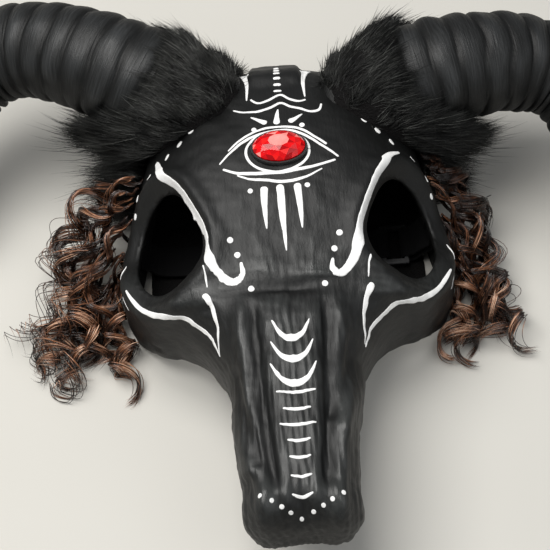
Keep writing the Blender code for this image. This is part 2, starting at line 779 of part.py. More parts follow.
# strap rivets through the wall
rivet_t = np.array(5.0 + (33.0 - STRAP_Y) / 33.0)
rivet_a = np.array(math.radians(70.0))
for side, label, layers in ((1, "right", 2), (-1, "left", 1)):
    spot = skin(rivet_t, rivet_a)
    way = normal_of(sculpt, rivet_t, rivet_a)
    depth = WALL + GAP + 0.8 + STRAP_THICKNESS + (layers - 1) * fold
    bm = rod(None, spot + way * 1.0, spot - way * (depth + 1.0), RIVET_RADIUS, 10, None)
    rivet = add_object(mirrored(bm, side), "strap_rivet_" + label, (0.1, 0.1, 0.1), 0.35, 1.0)
    dome = rod(None, spot + way * 0.7, spot + way * 2.6, RIVET_HEAD, 14, None, radius_end=RIVET_HEAD * 0.6)
    cap = add_object(mirrored(dome, side), "rivet_dome_" + label, None)
    burr_low = spot - way * (depth + 0.7)
    burr = rod(None, burr_low - way * 1.2, burr_low, RIVET_HEAD * 0.9, 12, None)
    burr = add_object(mirrored(burr, side), "rivet_burr_" + label, None)
    cut(rivet, cap, "UNION")
    cut(rivet, burr, "UNION")
    bore = rod(None, spot + way * 6, spot - way * (depth + 6), RIVET_RADIUS + GAP, 10, None)
    bore = add_object(mirrored(bore, side), "rivet_bore_" + label, None)
    cut(shell, bore)
    cut(strap if side < 0 else tab, bore)

# black cloth of the hood, which lies folded flat inside the rim
turn = np.arange(40) * 2 * math.pi / 40
squared = (np.abs(np.cos(turn)) ** 2.2 + np.abs(np.sin(turn)) ** 2.2) ** (-1 / 2.2)
outline = np.stack(
    [
        HOOD_HALF_WIDTH * squared * np.cos(turn),
        34.0 + HOOD_HALF_LENGTH * squared * np.sin(turn),
        np.full(40, GAP),
    ],
    -1,
)
add_object(
    stacked([outline, outline + np.array([0, 0, HOOD_THICKNESS])]),
    "hood_cloth",
    (0.012, 0.012, 0.012),
    0.95,
)

# stand the whole part on the ground, centred
bpy.context.view_layer.update()
depsgraph = bpy.context.evaluated_depsgraph_get()
low = np.full(3, 1e9)
high = np.full(3, -1e9)
for obj in parts.objects:
    solid = obj.evaluated_get(depsgraph)
    places = np.array([obj.matrix_world @ v.co for v in solid.data.vertices])
    low = np.minimum(low, places.min(axis=0))
    high = np.maximum(high, places.max(axis=0))
root.location = (-(low[0] + high[0]) / 2, -(low[1] + high[1]) / 2, -low[2])
bpy.context.view_layer.update()
print("size", high - low, "moved by", tuple(root.location))
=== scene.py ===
"""Looks of the horned skull half mask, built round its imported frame.

Shapes are worked out in millimetres about the skull's own centre line and then put into the frame.
"""

import math

import bmesh
import bpy
import numpy as np
from mathutils import Matrix, Vector
from mathutils.kdtree import KDTree


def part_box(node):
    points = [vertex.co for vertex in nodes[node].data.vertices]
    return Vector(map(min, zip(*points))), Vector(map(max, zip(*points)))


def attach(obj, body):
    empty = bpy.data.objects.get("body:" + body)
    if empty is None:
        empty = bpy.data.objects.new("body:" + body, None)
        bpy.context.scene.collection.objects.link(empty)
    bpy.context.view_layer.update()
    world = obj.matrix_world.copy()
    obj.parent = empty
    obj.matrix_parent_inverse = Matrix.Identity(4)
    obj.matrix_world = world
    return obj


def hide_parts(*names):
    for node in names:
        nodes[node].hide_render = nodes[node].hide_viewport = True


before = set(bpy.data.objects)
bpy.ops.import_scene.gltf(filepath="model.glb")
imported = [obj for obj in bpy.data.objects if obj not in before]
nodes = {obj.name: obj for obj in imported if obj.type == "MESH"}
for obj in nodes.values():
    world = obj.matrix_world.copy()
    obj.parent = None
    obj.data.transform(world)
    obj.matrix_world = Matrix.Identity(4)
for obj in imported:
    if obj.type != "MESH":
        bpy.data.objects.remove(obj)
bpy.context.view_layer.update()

MM = 0.001
WALL = 3.0
GAP = 0.3

# the strap ring tells where the skull's centre line is in the frame
RING_PLACE = np.array([76.0, 28.0, 0.0])
ring_low, ring_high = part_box("strap_ring")
SHIFT = np.array(((ring_low + ring_high) / 2)[:2] + (0.0,)) / MM - RING_PLACE

# ---------------------------------------------------------------- numbers and curves


def unit(v):
    return v / np.maximum(np.linalg.norm(v, axis=-1, keepdims=True), 1e-9)


def blend(low, high, value):
    s = np.clip((value - low) / (high - low), 0.0, 1.0)
    return s * s * (3.0 - 2.0 * s)


def bump(value, width):
    return np.exp(-((value / width) ** 2))


def cubic(t, table):
    """Smooth curve through the rows of a table, at row numbers t."""
    table = np.asarray(table, float)
    count = len(table)
    row = np.clip(np.floor(t).astype(int), 0, count - 2)
    f = (t - row)[..., None]
    p0 = table[np.clip(row - 1, 0, count - 1)]
    p1 = table[row]
    p2 = table[row + 1]
    p3 = table[np.clip(row + 2, 0, count - 1)]
    c = 2 * p0 - 5 * p1 + 4 * p2 - p3
    d = 3 * p1 - p0 - 3 * p2 + p3
    return 0.5 * (2 * p1 + (p2 - p0) * f + c * f**2 + d * f**3)


def ripple(p, size, seed, stretch=(1.0, 1.0, 1.0)):
    """Smooth uneven height between about -1 and 1, with features of about the given size."""
    draw = np.random.default_rng(seed)
    ways = unit(draw.normal(size=(12, 3))) * draw.uniform(0.55, 1.5, 12)[:, None]
    waves = (p * np.array(stretch)) @ ways.T * (2 * math.pi / size) + draw.uniform(0, 6.28, 12)
    return np.sin(waves).sum(-1) / 3.5


# ---------------------------------------------------------------- shader maths


class Wire:
    """One socket of a material's nodes, with arithmetic."""

    def __init__(self, tree, socket=None):
        self.tree = tree
        self.socket = socket

    def node(self, kind, sockets=(), out=0, stops=(), **settings):
        """A new node's output. A ramp's first two stops are the ones it already has."""
        made = self.tree.nodes.new("ShaderNode" + kind)
        for key, value in settings.items():
            setattr(made, key, value)
        for number, (spot, colour) in enumerate(stops):
            points = made.color_ramp.elements
            point = points[number] if number < 2 else points.new(spot)
            point.position = spot
            point.color = (*colour, 1.0)
        for key, value in dict(sockets).items():
            if isinstance(value, Wire):
                self.tree.links.new(value.socket, made.inputs[key])
            else:
                made.inputs[key].default_value = value
        return Wire(self.tree, made.outputs[out])

    def math(self, operation, other):
        return self.node("Math", {0: self, 1: other}, operation=operation)

    def __add__(self, other):
        return self.math("ADD", other)

    __radd__ = __add__

    def __mul__(self, other):
        return self.math("MULTIPLY", other)

    def __sub__(self, other):
        return self.math("SUBTRACT", other)

    def __rsub__(self, other):
        return self.node("Math", {0: other, 1: self}, operation="SUBTRACT")

    def __pow__(self, other):
        return self.math("POWER", other)

    def attribute(self, name):
        return self.node("Attribute", out=2, attribute_name=name)

    def stretched(self, x, y, z):
        return self.node("VectorMath", {0: self, 1: (x, y, z)}, operation="MULTIPLY")

    def moved(self, offset):
        return self.node("VectorMath", {0: self, 1: offset}, operation="ADD")

    def noise(self, scale, detail=3.0, roughness=0.55, distortion=0.0):
        sockets = {"Vector": self, "Scale": scale, "Detail": detail}
        sockets.update({"Roughness": roughness, "Distortion": distortion})
        return self.node("TexNoise", sockets)

    def ranged(self, low, high):
        """0 at low and 1 at high, smoothly."""
        return self.node("MapRange", {0: self, 1: low, 2: high}, interpolation_type="SMOOTHSTEP")

    def mix(self, low, high):
        """Colour between low and high, where this socket is the share of high."""
        return self.node("Mix", {0: self, 6: (*low, 1.0), 7: (*high, 1.0)}, out=2, data_type="RGBA")

    def bumped(self, distance, strength):
        return self.node("Bump", {"Height": self, "Distance": distance, "Strength": strength})


def make_finish(name, build, specular=0.5, metallic=0.0, coat=0.0):
    """Material from a function that gives its varying sockets, and the values that stay the same."""
    material = bpy.data.materials.new(name)
    material.use_nodes = True
    tree = material.node_tree
    shader = tree.nodes["Principled BSDF"]
    wire = Wire(tree)
    feeds = build(wire, wire.node("TexCoord", out=3))
    for key, value in feeds.items():
        tree.links.new(value.socket, shader.inputs[key])
    shader.inputs["Specular IOR Level"].default_value = specular
    shader.inputs["Metallic"].default_value = metallic
    shader.inputs["Coat Weight"].default_value = coat
    return material


def shell_paint(wire, place):
    rub_and_light = wire.attribute("rub_and_light")
    grain = place.moved((0.3, 0.1, 0.2)).stretched(420, 55, 420).noise(1.0, 5.0, 0.62, 0.35)
    fine = place.stretched(1100, 240, 1100).noise(1.0, 3.0, 0.6, 0.2)
    patchy = place.noise(38.0, 3.0, 0.6)
    # colour mixes dry-brushed grey and painted top light from the mesh with grain and patches
    worn_and_lit = (rub_and_light * 1.15 + (grain - 0.5) * 0.7 + (patchy - 0.5) * 0.35).ranged(0.12, 1.0)
    return {
        "Base Color": worn_and_lit.mix((0.0032, 0.0035, 0.0034), (0.032, 0.034, 0.033)),
        "Roughness": 0.46 - worn_and_lit * 0.24 + grain * 0.10,
        "Normal": (grain * 0.7 + fine * 0.3).bumped(0.0006, 0.7),
    }


def white_paint(wire, place):
    spots = place.noise(420.0, 3.0)
    thin = place.noise(2600.0, 2.0)
    return {
        "Base Color": spots.ranged(0.25, 0.75).mix((0.84, 0.84, 0.83), (0.93, 0.93, 0.92)),
        "Roughness": 0.36 + spots * 0.2,
        "Normal": (spots * 0.6 + thin * 0.4).bumped(0.0003, 0.6),
    }


def horn_skin(wire, place):
    lay = wire.node("TexCoord", out=2)
    lines = lay.stretched(9.0, 430.0, 1.0).noise(1.0, 3.0, 0.6, 0.3)
    pores = place.noise(900.0, 3.0)
    patchy = place.noise(30.0, 3.0)
    rub_and_light = wire.attribute("rub_and_light")
    # colour mixes rib wear, painted highlight and painted shade under the fur from the mesh with streaks and
    # patches
    worn_and_lit = (rub_and_light * 1.1 + (lines - 0.5) + (patchy - 0.5) * 0.4).ranged(0.1, 1.1)
    return {
        "Base Color": worn_and_lit.mix((0.0034, 0.0037, 0.0036), (0.036, 0.038, 0.039)),
        "Roughness": 0.46 - worn_and_lit * 0.20 + patchy * 0.08,
        "Normal": (lines * 0.8 + pores * 0.2).bumped(0.0008, 0.6),
    }


def pile(wire, place):
    shade = wire.attribute("shade")
    tone = shade**2.2
    drift = place.noise(60.0, 2.0).ranged(0.35, 0.7)
    colour = (tone * 0.8 + drift * 0.2).mix((0.0020, 0.0021, 0.0020), (0.115, 0.119, 0.110))
    return {"Base Color": colour, "Roughness": 0.42 - shade * 0.12}


def mottled(scale, detail, dark, light, roughness, relief):
    """Finish with soft mottling between two colours, for what has no pattern of its own."""

    def build(wire, place):
        spots = place.noise(scale, detail)
        rough, more = roughness
        height, strength = relief
        return {
            "Base Color": spots.mix(dark, light),
            "Roughness": rough + spots * more,
            "Normal": spots.bumped(height, strength),
        }

    return build


def curl(wire, place):
    shade = wire.attribute("shade")
    drift = place.noise(95.0, 2.0).ranged(0.3, 0.72)
    tone = (shade * 0.86 + drift * 0.14).ranged(0.05, 1.0)
    # the upper stops are the curls' painted highlights
    stops = (
        (0.0, (0.008, 0.004, 0.003)),
        (1.0, (1.0, 0.66, 0.46)),
        (0.36, (0.085, 0.034, 0.018)),
        (0.68, (0.42, 0.18, 0.088)),
    )
    colour = wire.node("ValToRGB", {0: tone}, stops=stops)
    return {"Base Color": colour, "Roughness": 0.22 + drift * 0.12}


def stone(wire, place):
    shade = wire.attribute("shade")
    cloudy = place.noise(160.0, 3.0)
    tone = (shade + (cloudy - 0.5) * 0.12).ranged(0.0, 1.0)
    # deep red facets to pale pink ones: painted reflections over the stone's red
    stops = (
        (0.0, (0.30, 0.0, 0.002)),
        (1.0, (1.0, 0.55, 0.50)),
        (0.5, (0.80, 0.003, 0.006)),
        (0.8, (0.95, 0.02, 0.012)),
    )
    colour = wire.node("ValToRGB", {0: tone}, stops=stops)
    return {"Base Color": colour, "Roughness": 0.05 + cloudy * 0.06}


UNDER_FUR = mottled(700.0, 3.0, (0.003, 0.003, 0.003), (0.012, 0.011, 0.011), (0.8, 0.15), (0.002, 0.8))
DULL_BLACK = mottled(300.0, 4.0, (0.004, 0.004, 0.004), (0.014, 0.014, 0.014), (0.40, 0.25), (0.0004, 0.5))
INNER_WALL = mottled(140.0, 4.0, (0.003, 0.003, 0.003), (0.010, 0.010, 0.010), (0.6, 0.25), (0.001, 0.5))
OLD_STEEL = mottled(200.0, 3.0, (0.010, 0.010, 0.011), (0.028, 0.028, 0.030), (0.45, 0.25), (0.00006, 0.5))


def woven(wire, place):
    threads = {"Vector": place, "Scale": 620.0}
    across = place.node("TexWave", threads, out=1, bands_direction="X")
    down = place.node("TexWave", threads, out=1, bands_direction="Y")
    fuzz = place.noise(1500.0, 3.0)
    height = across * down + fuzz * 0.3
    return {
        "Base Color": height.ranged(0.0, 1.1).mix((0.003, 0.003, 0.0035), (0.014, 0.014, 0.015)),
        "Roughness": 0.75 + fuzz * 0.2,
        "Normal": height.bumped(0.0004, 0.8),
    }


def plated(wire, place):
    brushed = place.stretched(900, 90, 900).noise(1.0, 4.0, 0.6)
    spots = place.noise(200.0, 3.0)
    return {
        "Base Color": spots.mix((0.42, 0.42, 0.43), (0.60, 0.60, 0.61)),
        "Roughness": 0.24 + brushed * 0.18,
        "Normal": brushed.bumped(0.00005, 0.5),
    }


SHELL = make_finish("rubbed_and_lit_black_paint", shell_paint, specular=0.38)
WHITE = make_finish("white_acrylic", white_paint)
HORN = make_finish("satin_horn_skin", horn_skin, specular=0.30)
FUR = make_finish("black_pile", pile, specular=0.28)
BACKING = make_finish("pile_backing", UNDER_FUR, specular=0.1)
CURLS = make_finish("copper_curls", curl, specular=0.8)
STONE = make_finish("red_stone_painted_reflections", stone, specular=0.25, coat=0.35)
CUP = make_finish("black_cup_paint", DULL_BLACK)
CLOTH = make_finish("black_webbing", woven, specular=0.2)
HOOD = make_finish("black_hood_cloth", UNDER_FUR, specular=0.15)
INSIDE = make_finish("inner_wall", INNER_WALL, specular=0.3)
BLACKENED = make_finish("blackened_steel", OLD_STEEL, metallic=1.0)
STEEL = make_finish("plated_steel", plated, metallic=1.0)
ENAMEL = make_finish("black_enamel", DULL_BLACK, metallic=0.4)

# ---------------------------------------------------------------- making pieces


def to_mesh(bm, name):
    mesh = bpy.data.meshes.new(name)
    bm.to_mesh(mesh)
    bm.free()
    return mesh


def add_object(name, data):
    made = bpy.data.objects.new(name, data)
    bpy.context.scene.collection.objects.link(made)
    return made


def add_piece(mesh, finish, smooth=True):
    """Piece of the mask with the mesh's name, in its finish."""
    mesh.materials.append(finish)
    if smooth:
        mesh.shade_smooth()
    piece = add_object(mesh.name, mesh)
    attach(piece, "mask")
    return piece


def into_frame(p):
    return (np.asarray(p) + SHIFT) * MM


def set_places(bm, p):
    for vert, co in zip(bm.verts, into_frame(p)):
        vert.co = co


def flat_grid(rows, columns):
    """Grid with its UV map, and each corner's share along its columns and its rows."""
    bm = bmesh.new()
    bm.loops.layers.uv.new("UVMap")
    bmesh.ops.create_grid(bm, x_segments=columns, y_segments=rows, size=0.5, calc_uvs=True)
    flat = np.array([v.co[:2] for v in bm.verts]) + 0.5
    return bm, flat[:, 0], flat[:, 1]


def close_up(bm, within=0.00001):
    bmesh.ops.remove_doubles(bm, verts=bm.verts, dist=within)
    bmesh.ops.recalc_face_normals(bm, faces=bm.faces)


def set_rub_and_light(bm, values):
    """How worn the paint is at each corner, with painted light and shade mixed in, for its finish to read."""
    layer = bm.verts.layers.float.new("rub_and_light")
    for vert, value in zip(bm.verts, values):
        vert[layer] = float(value)


def run_of(line):
    """Distance run along a line of points, at each of them."""
    return np.concatenate([[0], np.cumsum(np.linalg.norm(np.diff(line, axis=0), axis=1))])


# ---------------------------------------------------------------- the skull's form

# one arch per row: y, top z, half width, rim z, how far the rim sits from the top in y, squareness
ARCHES = (
    (134, -4, 68, -8, -42, 2.2),
    (140, 44, 78, -8, -40, 2.3),
    (136, 84, 88, -8, -34, 2.4),
    (110, 104, 96, -8, -20, 2.5),
    (72, 115, 102, -8, -7, 2.7),
    (33, 119, 106, -8, 0, 2.9),
    (0, 116, 112, -8, 0, 3.0),
    (-29, 108, 113.5, -3, 0, 3.0),
    (-54, 101.5, 98, 14, 4, 2.8),
    (-78, 101.5, 66, 30, 4, 2.7),
    (-102, 100.5, 46, 41, 0, 2.9),
    (-128, 99, 40, 48, 0, 3.2),
    (-158, 96.5, 37.5, 52, 0, 3.3),
    (-186, 93.5, 36.5, 54, 0, 3.2),
    (-203, 89.5, 37, 55, 5, 3.0),
    (-212, 77, 35.5, 55, 8, 2.9),
    (-215, 57, 29, 55.5, 8, 2.8),
)
LAST_ARCH = len(ARCHES) - 1
EYE_CENTRE = np.array([81.0, -10.0, 83.0])
EYE_AXIS = unit(np.array([0.60, -0.20, 0.775]))
EYE_TILT = math.radians(20.0)
EYE_HALF = (30.0, 34.0)
EYE_SQUARE = 2.5
eye_up = unit(np.array([0.0, 1.0, 0.0]) - EYE_AXIS * EYE_AXIS[1])
eye_side = np.cross(eye_up, EYE_AXIS)
EYE_ACROSS = eye_side * math.cos(EYE_TILT) - eye_up * math.sin(EYE_TILT)
EYE_ALONG = eye_side * math.sin(EYE_TILT) + eye_up * math.cos(EYE_TILT)


def arch_point(t, angle):
    t, angle = np.broadcast_arrays(np.asarray(t, float), np.asarray(angle, float))
    y, top, half, rim, shift, square = np.moveaxis(cubic(t, ARCHES), -1, 0)
    s = np.sin(angle)
    c = np.maximum(np.cos(angle), 0.0)
    r = (np.abs(s) ** square + c**square) ** (-1.0 / square)
    height = c * r
    side = half * s * r * (1 - 0.06 * (1 - height) ** 3)
    return np.stack([side, y + shift * (1 - height), rim + (top - rim) * height], -1)


def eye_ring(p):
    """1 on the edge of the eye opening, less inside it, more outside it."""
    q = np.array(p)
    q[..., 0] = np.abs(q[..., 0])
    q -= EYE_CENTRE
    u = np.abs(q @ EYE_ACROSS) / EYE_HALF[0]
    v = np.abs(q @ EYE_ALONG) / EYE_HALF[1]
    return (u**EYE_SQUARE + v**EYE_SQUARE) ** (1 / EYE_SQUARE)


def normal_of(shape, t, angle, step_t=0.03, step_a=0.015):
    low_t = np.clip(t - step_t, 0, LAST_ARCH)
    high_t = np.clip(t + step_t, 0, LAST_ARCH)
    low_a = np.clip(angle - step_a, -math.pi / 2, math.pi / 2)
    high_a = np.clip(angle + step_a, -math.pi / 2, math.pi / 2)
    along = shape(high_t, angle) - shape(low_t, angle)
    across = shape(t, high_a) - shape(t, low_a)
    return unit(np.cross(along, across))


def near_line(x, y, a, b):
    """Distance in plan from a straight line between two points."""
    a = np.array(a, float)
    ab = np.array(b, float) - a
    flat = np.stack([x, y], -1) - a
    s = np.clip(flat @ ab / (ab @ ab), 0.0, 1.0)
    return np.linalg.norm(flat - s[..., None] * ab, axis=-1)


# folds and hollows along lines in plan: side (0 for both), from, to, height, half width
FOLDS = (
    # the slopes of the muzzle's sides
    (1, (43, -112), (26, -160), 3.0, 4.0),
    (1, (36, -100), (22, -150), -2.6, 3.5),
    (-1, (36, -112), (24, -176), -2.6, 3.0),
    (-1, (40, -134), (30, -180), 2.4, 4.0),
    # two lobes at the tip
    (0, (17, -199), (20, -207), 4.2, 8.5),
    (0, (32, -186), (25, -196), -1.2, 4),
    # cheekbone and the hollows behind it
    (0, (54, -64), (104, -50), 1.8, 8),
    (0, (50, -80), (80, -68), -1.8, 7),
    (0, (48, -64), (72, -60), 1.0, 2.4),
    (0, (50, -69), (80, -64), -0.9, 2.2),
    # dents between the crown plate and the horns
    (0, (28, 62), (44, 78), -1.2, 7),
)


def relief(p):
    """How far the sculpted form stands off the plain arch, along its normal."""
    x = p[..., 0]
    side = np.abs(x)
    y = p[..., 1] + 0.8 * ripple(p, 46.0, 11)
    muzzle = blend(-66, -84, y) * blend(-214, -198, y)
    groove = np.interp(y, [-205.0, -150.0, -90.0], [13.5, 18.5, 22.0])
    # crown plate, brow, the crease under it, and the fall at the back
    out = 3.5 * blend(20, 15, side) * blend(92, 106, y) * blend(142, 132, y)
    out += 1.8 * bump(y + 48, 7.5) * bump(side, 34)
    out -= 2.6 * bump(y + 62, 5.0) * bump(side, 27)
    out += 0.6 * bump(y + 56.0, 2.6) * bump(side, 28) * blend(2, 16, side)
    out -= 4.5 * blend(110, 126, y) * blend(62, 40, side)
    # nasal panel between two grooves, a ridge outside each, and the notch at the tip
    out += 1.8 * muzzle * blend(1.15, 0.75, side / groove)
    out -= 3.0 * muzzle * bump(side - groove, 4.0)
    out += 2.6 * muzzle * bump(side - groove - 9.0, 4.6)
    out -= 2.0 * bump(side, 5) * blend(-190, -204, y) * blend(-216, -208, y)
    for which, start, end, height, width in FOLDS:
        share = blend(0, 6, which * x) if which else 1.0
        out += height * share * bump(near_line(side, y, start, end), width)
    return out


def grain(p):
    """Long chisel-like furrows of the moulding, in millimetres of height."""
    side = np.abs(p[..., 0])
    y = p[..., 1]
    strong = 0.10 + 0.90 * blend(22, -14, y) * bump(side, 62)
    long = ripple(p, 4.2, 3, (1.0, 0.16, 0.6)) * 0.28 + ripple(p, 11.0, 5, (1.0, 0.16, 0.6)) * 0.18
    lumps = ripple(p, 24.0, 7) * 0.30 + ripple(p, 9.0, 8) * 0.16
    creases = ripple(p, 5.0, 9, (0.16, 1.0, 0.5)) * 0.5 * bump(y + 57, 9)
    return long * strong + lumps * 0.8 + creases


def sculpt(t, angle):
    t, angle = np.broadcast_arrays(np.asarray(t, float), np.asarray(angle, float))
    p = arch_point(t, angle)
    n = normal_of(arch_point, t, angle)
    ring = eye_ring(p)
    rim = 2.6 * bump(ring - 1.40, 0.15)
    hollow = 10.0 * blend(1.34, 0.94, ring)
    axis = np.broadcast_to(EYE_AXIS, p.shape).copy()
    axis[..., 0] *= np.sign(p[..., 0])
    return p + n * (relief(p) + rim + grain(p))[..., None] - axis * hollow[..., None]


SKULL_ROWS = 236
SKULL_COLUMNS = 172
CROWN_STEPS = 1600
EYE_CUT = 0.975
EYE_EDGE = 1.4
FLOOR_CUT = 0.0002


def settle_eye_edge(t, angle):
    """Moves the rows and angles of the eye holes' edges onto the eye ring, a step at a time."""
    for _ in range(6):
        now = eye_ring(sculpt(t, angle))
        by_t = (eye_ring(sculpt(t + 0.01, angle)) - now) / 0.01
        by_a = (eye_ring(sculpt(t, angle + 0.005)) - now) / 0.005
        step = 0.8 * (1.0 - now) / np.maximum(by_t**2 + by_a**2 * 0.25, 1e-6)
        t = t + np.clip(step * by_t, -0.05, 0.05)
        angle = angle + np.clip(step * by_a * 0.25, -0.02, 0.02)
    return t, angle


def add_skull():
    """The shell with its eye holes; gives the rows, angles, places and normals of its corners."""
    bm, share_a, share_t = flat_grid(SKULL_ROWS, SKULL_COLUMNS)
    # rows spread evenly along the crown line
    fine_t = np.linspace(0, LAST_ARCH, CROWN_STEPS)
    crown_run = run_of(arch_point(fine_t, 0.0))
    t = np.interp(share_t, crown_run / crown_run[-1], fine_t)
    a = (share_a * 2 - 1) * math.pi / 2
    ring = eye_ring(sculpt(t, a))
    inside = ring < EYE_CUT
    doomed = [v for v, gone in zip(bm.verts, inside) if gone]
    bmesh.ops.delete(bm, geom=doomed, context="VERTS")
    t, a, ring = t[~inside], a[~inside], ring[~inside]
    edge = np.array([v.is_boundary for v in bm.verts]) & (ring < EYE_EDGE)
    t[edge], a[edge] = settle_eye_edge(t[edge], a[edge])
    p = sculpt(t, a)
    n = normal_of(sculpt, t, a)
    set_places(bm, p)
    # dry-brushed grey on raised ridges, times painted top light on surfaces that face up, with less of both
    # toward the crown
    raised = grain(p) * 0.9 + 0.28 * relief(p)
    top_light = blend(0.25, 0.95, n[:, 2])
    rubbed_and_lit = np.clip(0.30 + 0.35 * raised, 0, 1) * (0.35 + 0.65 * top_light)
    set_rub_and_light(bm, rubbed_and_lit * (0.12 + 0.88 * blend(20, -32, p[:, 1])))
    everything = list(bm.verts) + list(bm.edges) + list(bm.faces)
    floor_at = Vector((0, 0, FLOOR_CUT))
    bmesh.ops.bisect_plane(bm, geom=everything, plane_co=floor_at, plane_no=(0, 0, 1), clear_inner=True)
    bmesh.ops.recalc_face_normals(bm, faces=bm.faces)
    if sum(1 if f.normal.z > 0 else -1 for f in bm.faces) < 0:
        bmesh.ops.reverse_faces(bm, faces=bm.faces)
    skull = add_piece(to_mesh(bm, "skull"), SHELL)
    skull.data.materials.append(INSIDE)
    wall = skull.modifiers.new("wall", "SOLIDIFY")
    wall.thickness = WALL * MM
    wall.offset = -1.0
    wall.use_quality_normals = True
    wall.material_offset = 1
    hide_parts("skull_shell")
    return t, a, p, n


skull_t, skull_a, skull_p, skull_n = add_skull()

# nearest place on the skull for anything painted or set on it, and the same seen from above
skull_tree = KDTree(len(skull_p))
plan_tree = KDTree(len(skull_p))
for number, spot in enumerate(skull_p):
    skull_tree.insert(spot, number)
    if skull_n[number, 2] > 0.2:
        plan_tree.insert((spot[0], spot[1], 0.0), number)
skull_tree.balance()
plan_tree.balance()


def off_skull(p):
    """How far each point stands out from the skull, and the skull's outward direction there."""
    near = [skull_tree.find(q)[1] for q in p]
    return ((p - skull_p[near]) * skull_n[near]).sum(-1), skull_n[near]


def onto_skull(p):
    """Rows and angles of the skull's surface nearest to these points."""
    near = [skull_tree.find(q)[1] for q in p.reshape(-1, 3)]
    t = skull_t[near].reshape(p.shape[:-1]).copy()
    a = skull_a[near].reshape(p.shape[:-1]).copy()
    for _ in range(5):
        here = sculpt(t, a)
        by_t = (sculpt(t + 0.02, a) - here) / 0.02
        by_a = (sculpt(t, a + 0.01) - here) / 0.01
        miss = p - here
        tt = (by_t * by_t).sum(-1)
        aa = (by_a * by_a).sum(-1)
        ta = (by_t * by_a).sum(-1)
        mt = (by_t * miss).sum(-1)
        ma = (by_a * miss).sum(-1)
        det = np.maximum(tt * aa - ta * ta, 1e-6)
        t = np.clip(t + np.clip((mt * aa - ma * ta) / det, -0.2, 0.2), 0, LAST_ARCH)
        a = np.clip(a + np.clip((ma * tt - mt * ta) / det, -0.1, 0.1), -1.57, 1.57)
    return t, a


# ---------------------------------------------------------------- painted marks


PAINT_HEIGHT = 0.32
PAINT_ROUND = 16
PAINT_SINK = 0.5
PAINT_MERGE = 0.000004
PAINT_STEP = 0.8
THINNEST = 0.01


def lay_paint(centre, width, name):
    """Closed bead of paint along points near the skull, as wide as given at each."""
    centre = np.asarray(centre, float)
    tangent = unit(np.gradient(centre, axis=0))
    t, a = onto_skull(centre)
    normal = normal_of(sculpt, t, a)
    lateral = unit(np.cross(normal, tangent))
    rows = len(centre) - 1
    bm, share_round, share_long = flat_grid(rows, PAINT_ROUND)
    turn = share_round * 2 * math.pi
    row = np.rint(share_long * rows).astype(int)
    uneven = 1 + 0.05 * ripple(centre, 11.0, 21) + 0.02 * ripple(centre, 4.0, 22)
    half = (np.asarray(width) / 2 * uneven)[row]
    spot = centre[row] + lateral[row] * (np.cos(turn) * half)[:, None]
    t, a = onto_skull(spot)
    base = sculpt(t, a)
    out = normal_of(sculpt, t, a)
    full = np.clip(half / 0.5, 0.0, 1.0)
    rise = np.clip(np.sin(turn) * 1.8, -1.0, 1.0)
    lift = np.where(rise > 0, PAINT_HEIGHT * full, PAINT_SINK) * rise
    set_places(bm, base + out * lift[:, None])
    close_up(bm, PAINT_MERGE)
    add_piece(to_mesh(bm, name), WHITE)


def on_top(points):
    """Points given as (x, y) seen from above, put on the skull; (x, y, z) stay as they are."""
    points = np.asarray(points, float)
    if points.shape[1] == 3:
        return points
    return np.array([(x, y, skull_p[plan_tree.find((x, y, 0.0))[1], 2]) for x, y in points])


def stroke(points, widths, name):
    """Brush stroke through control points, (x, y) seen from above or (x, y, z)."""
    points = on_top(points)
    count = max(8, int(run_of(points)[-1] / PAINT_STEP))
    where = np.linspace(0, len(points) - 1, count + 1)
    line = cubic(where, points)
    width = np.interp(where, np.linspace(0, len(points) - 1, len(widths)), widths)
    run = run_of(line)
    ends = np.clip(np.minimum(run, run[-1] - run) / np.maximum(width / 2, 0.3), 0, 1)
    width = width * np.sqrt(np.clip(1 - (1 - ends) ** 2, 0, 1))
    lay_paint(line, np.maximum(width, THINNEST), name)


def dot(spot, size, name, stretch=1.0, turn=0.0):
    """Round or oval dab."""
    spot = on_top([spot])[0]
    t, a = onto_skull(spot[None])
    normal = normal_of(sculpt, t, a)[0]
    way = unit(np.cross(normal, np.array([math.sin(turn), -math.cos(turn), 0.0])))
    way = unit(np.cross(way, normal))
    reach = size / 2 * stretch
    share = np.cos(np.linspace(math.pi, 0, 9))
    line = spot + way * (share * reach)[:, None]
    width = size * np.sqrt(np.clip(1 - share**2, 0, 1))
    lay_paint(line, np.maximum(width, THINNEST), name)


# control points and widths of the marks on the middle line
MIDLINE_MARKS = {
    "wavy_low": (
        [(-17, 82), (-12, 77), (-5, 79), (3, 84), (9, 79), (15, 76.5), (20, 78)],
        (1.4, 2.0, 2.0, 2.0, 1.4),
    ),
    "wavy_high": (
        [(-29, 73), (-22, 69), (-13, 68), (-4, 71), (3, 75), (9, 71), (15, 69), (22, 66), (28, 68), (30, 74)],
        (1.2, 1.9, 2.2, 1.9, 1.9, 2.0, 1.2),
    ),
    "lid_top": (
        [(-39, 25), (-32, 33), (-22, 42), (-10, 47.5), (4, 49), (17, 44), (28, 34), (38, 25)],
        (1.0, 2.1, 2.0, 2.0, 1.3),
    ),
    "lid_crease": (
        [(-33, 35), (-25, 43), (-14, 50), (-1, 52.5), (14, 49.5), (24, 42), (31, 35)],
        (1.1, 1.8, 2.0, 1.5),
    ),
    "lid_bottom": (
        [(-37, 21), (-26, 16), (-9, 14.5), (6, 15), (22, 18), (36, 22.5)],
        (1.4, 2.4, 2.6, 2.2, 1.4),
    ),
    "lid_under": (
        [(-28, 15), (-20, 11), (-10, 9.5), (0, 8), (10, 8.5), (18, 11), (27, 16)],
        (0.9, 2.0, 2.3, 1.9, 0.8),
    ),
}
for name, (points, widths) in MIDLINE_MARKS.items():
    stroke(points, widths, name)
turn = np.linspace(0, 2 * math.pi, 29)
iris = np.stack([-1 + 20.5 * np.cos(turn), 31.5 + 16.5 * np.sin(turn)], -1)
stroke(iris, (1.9,), "iris_ring")

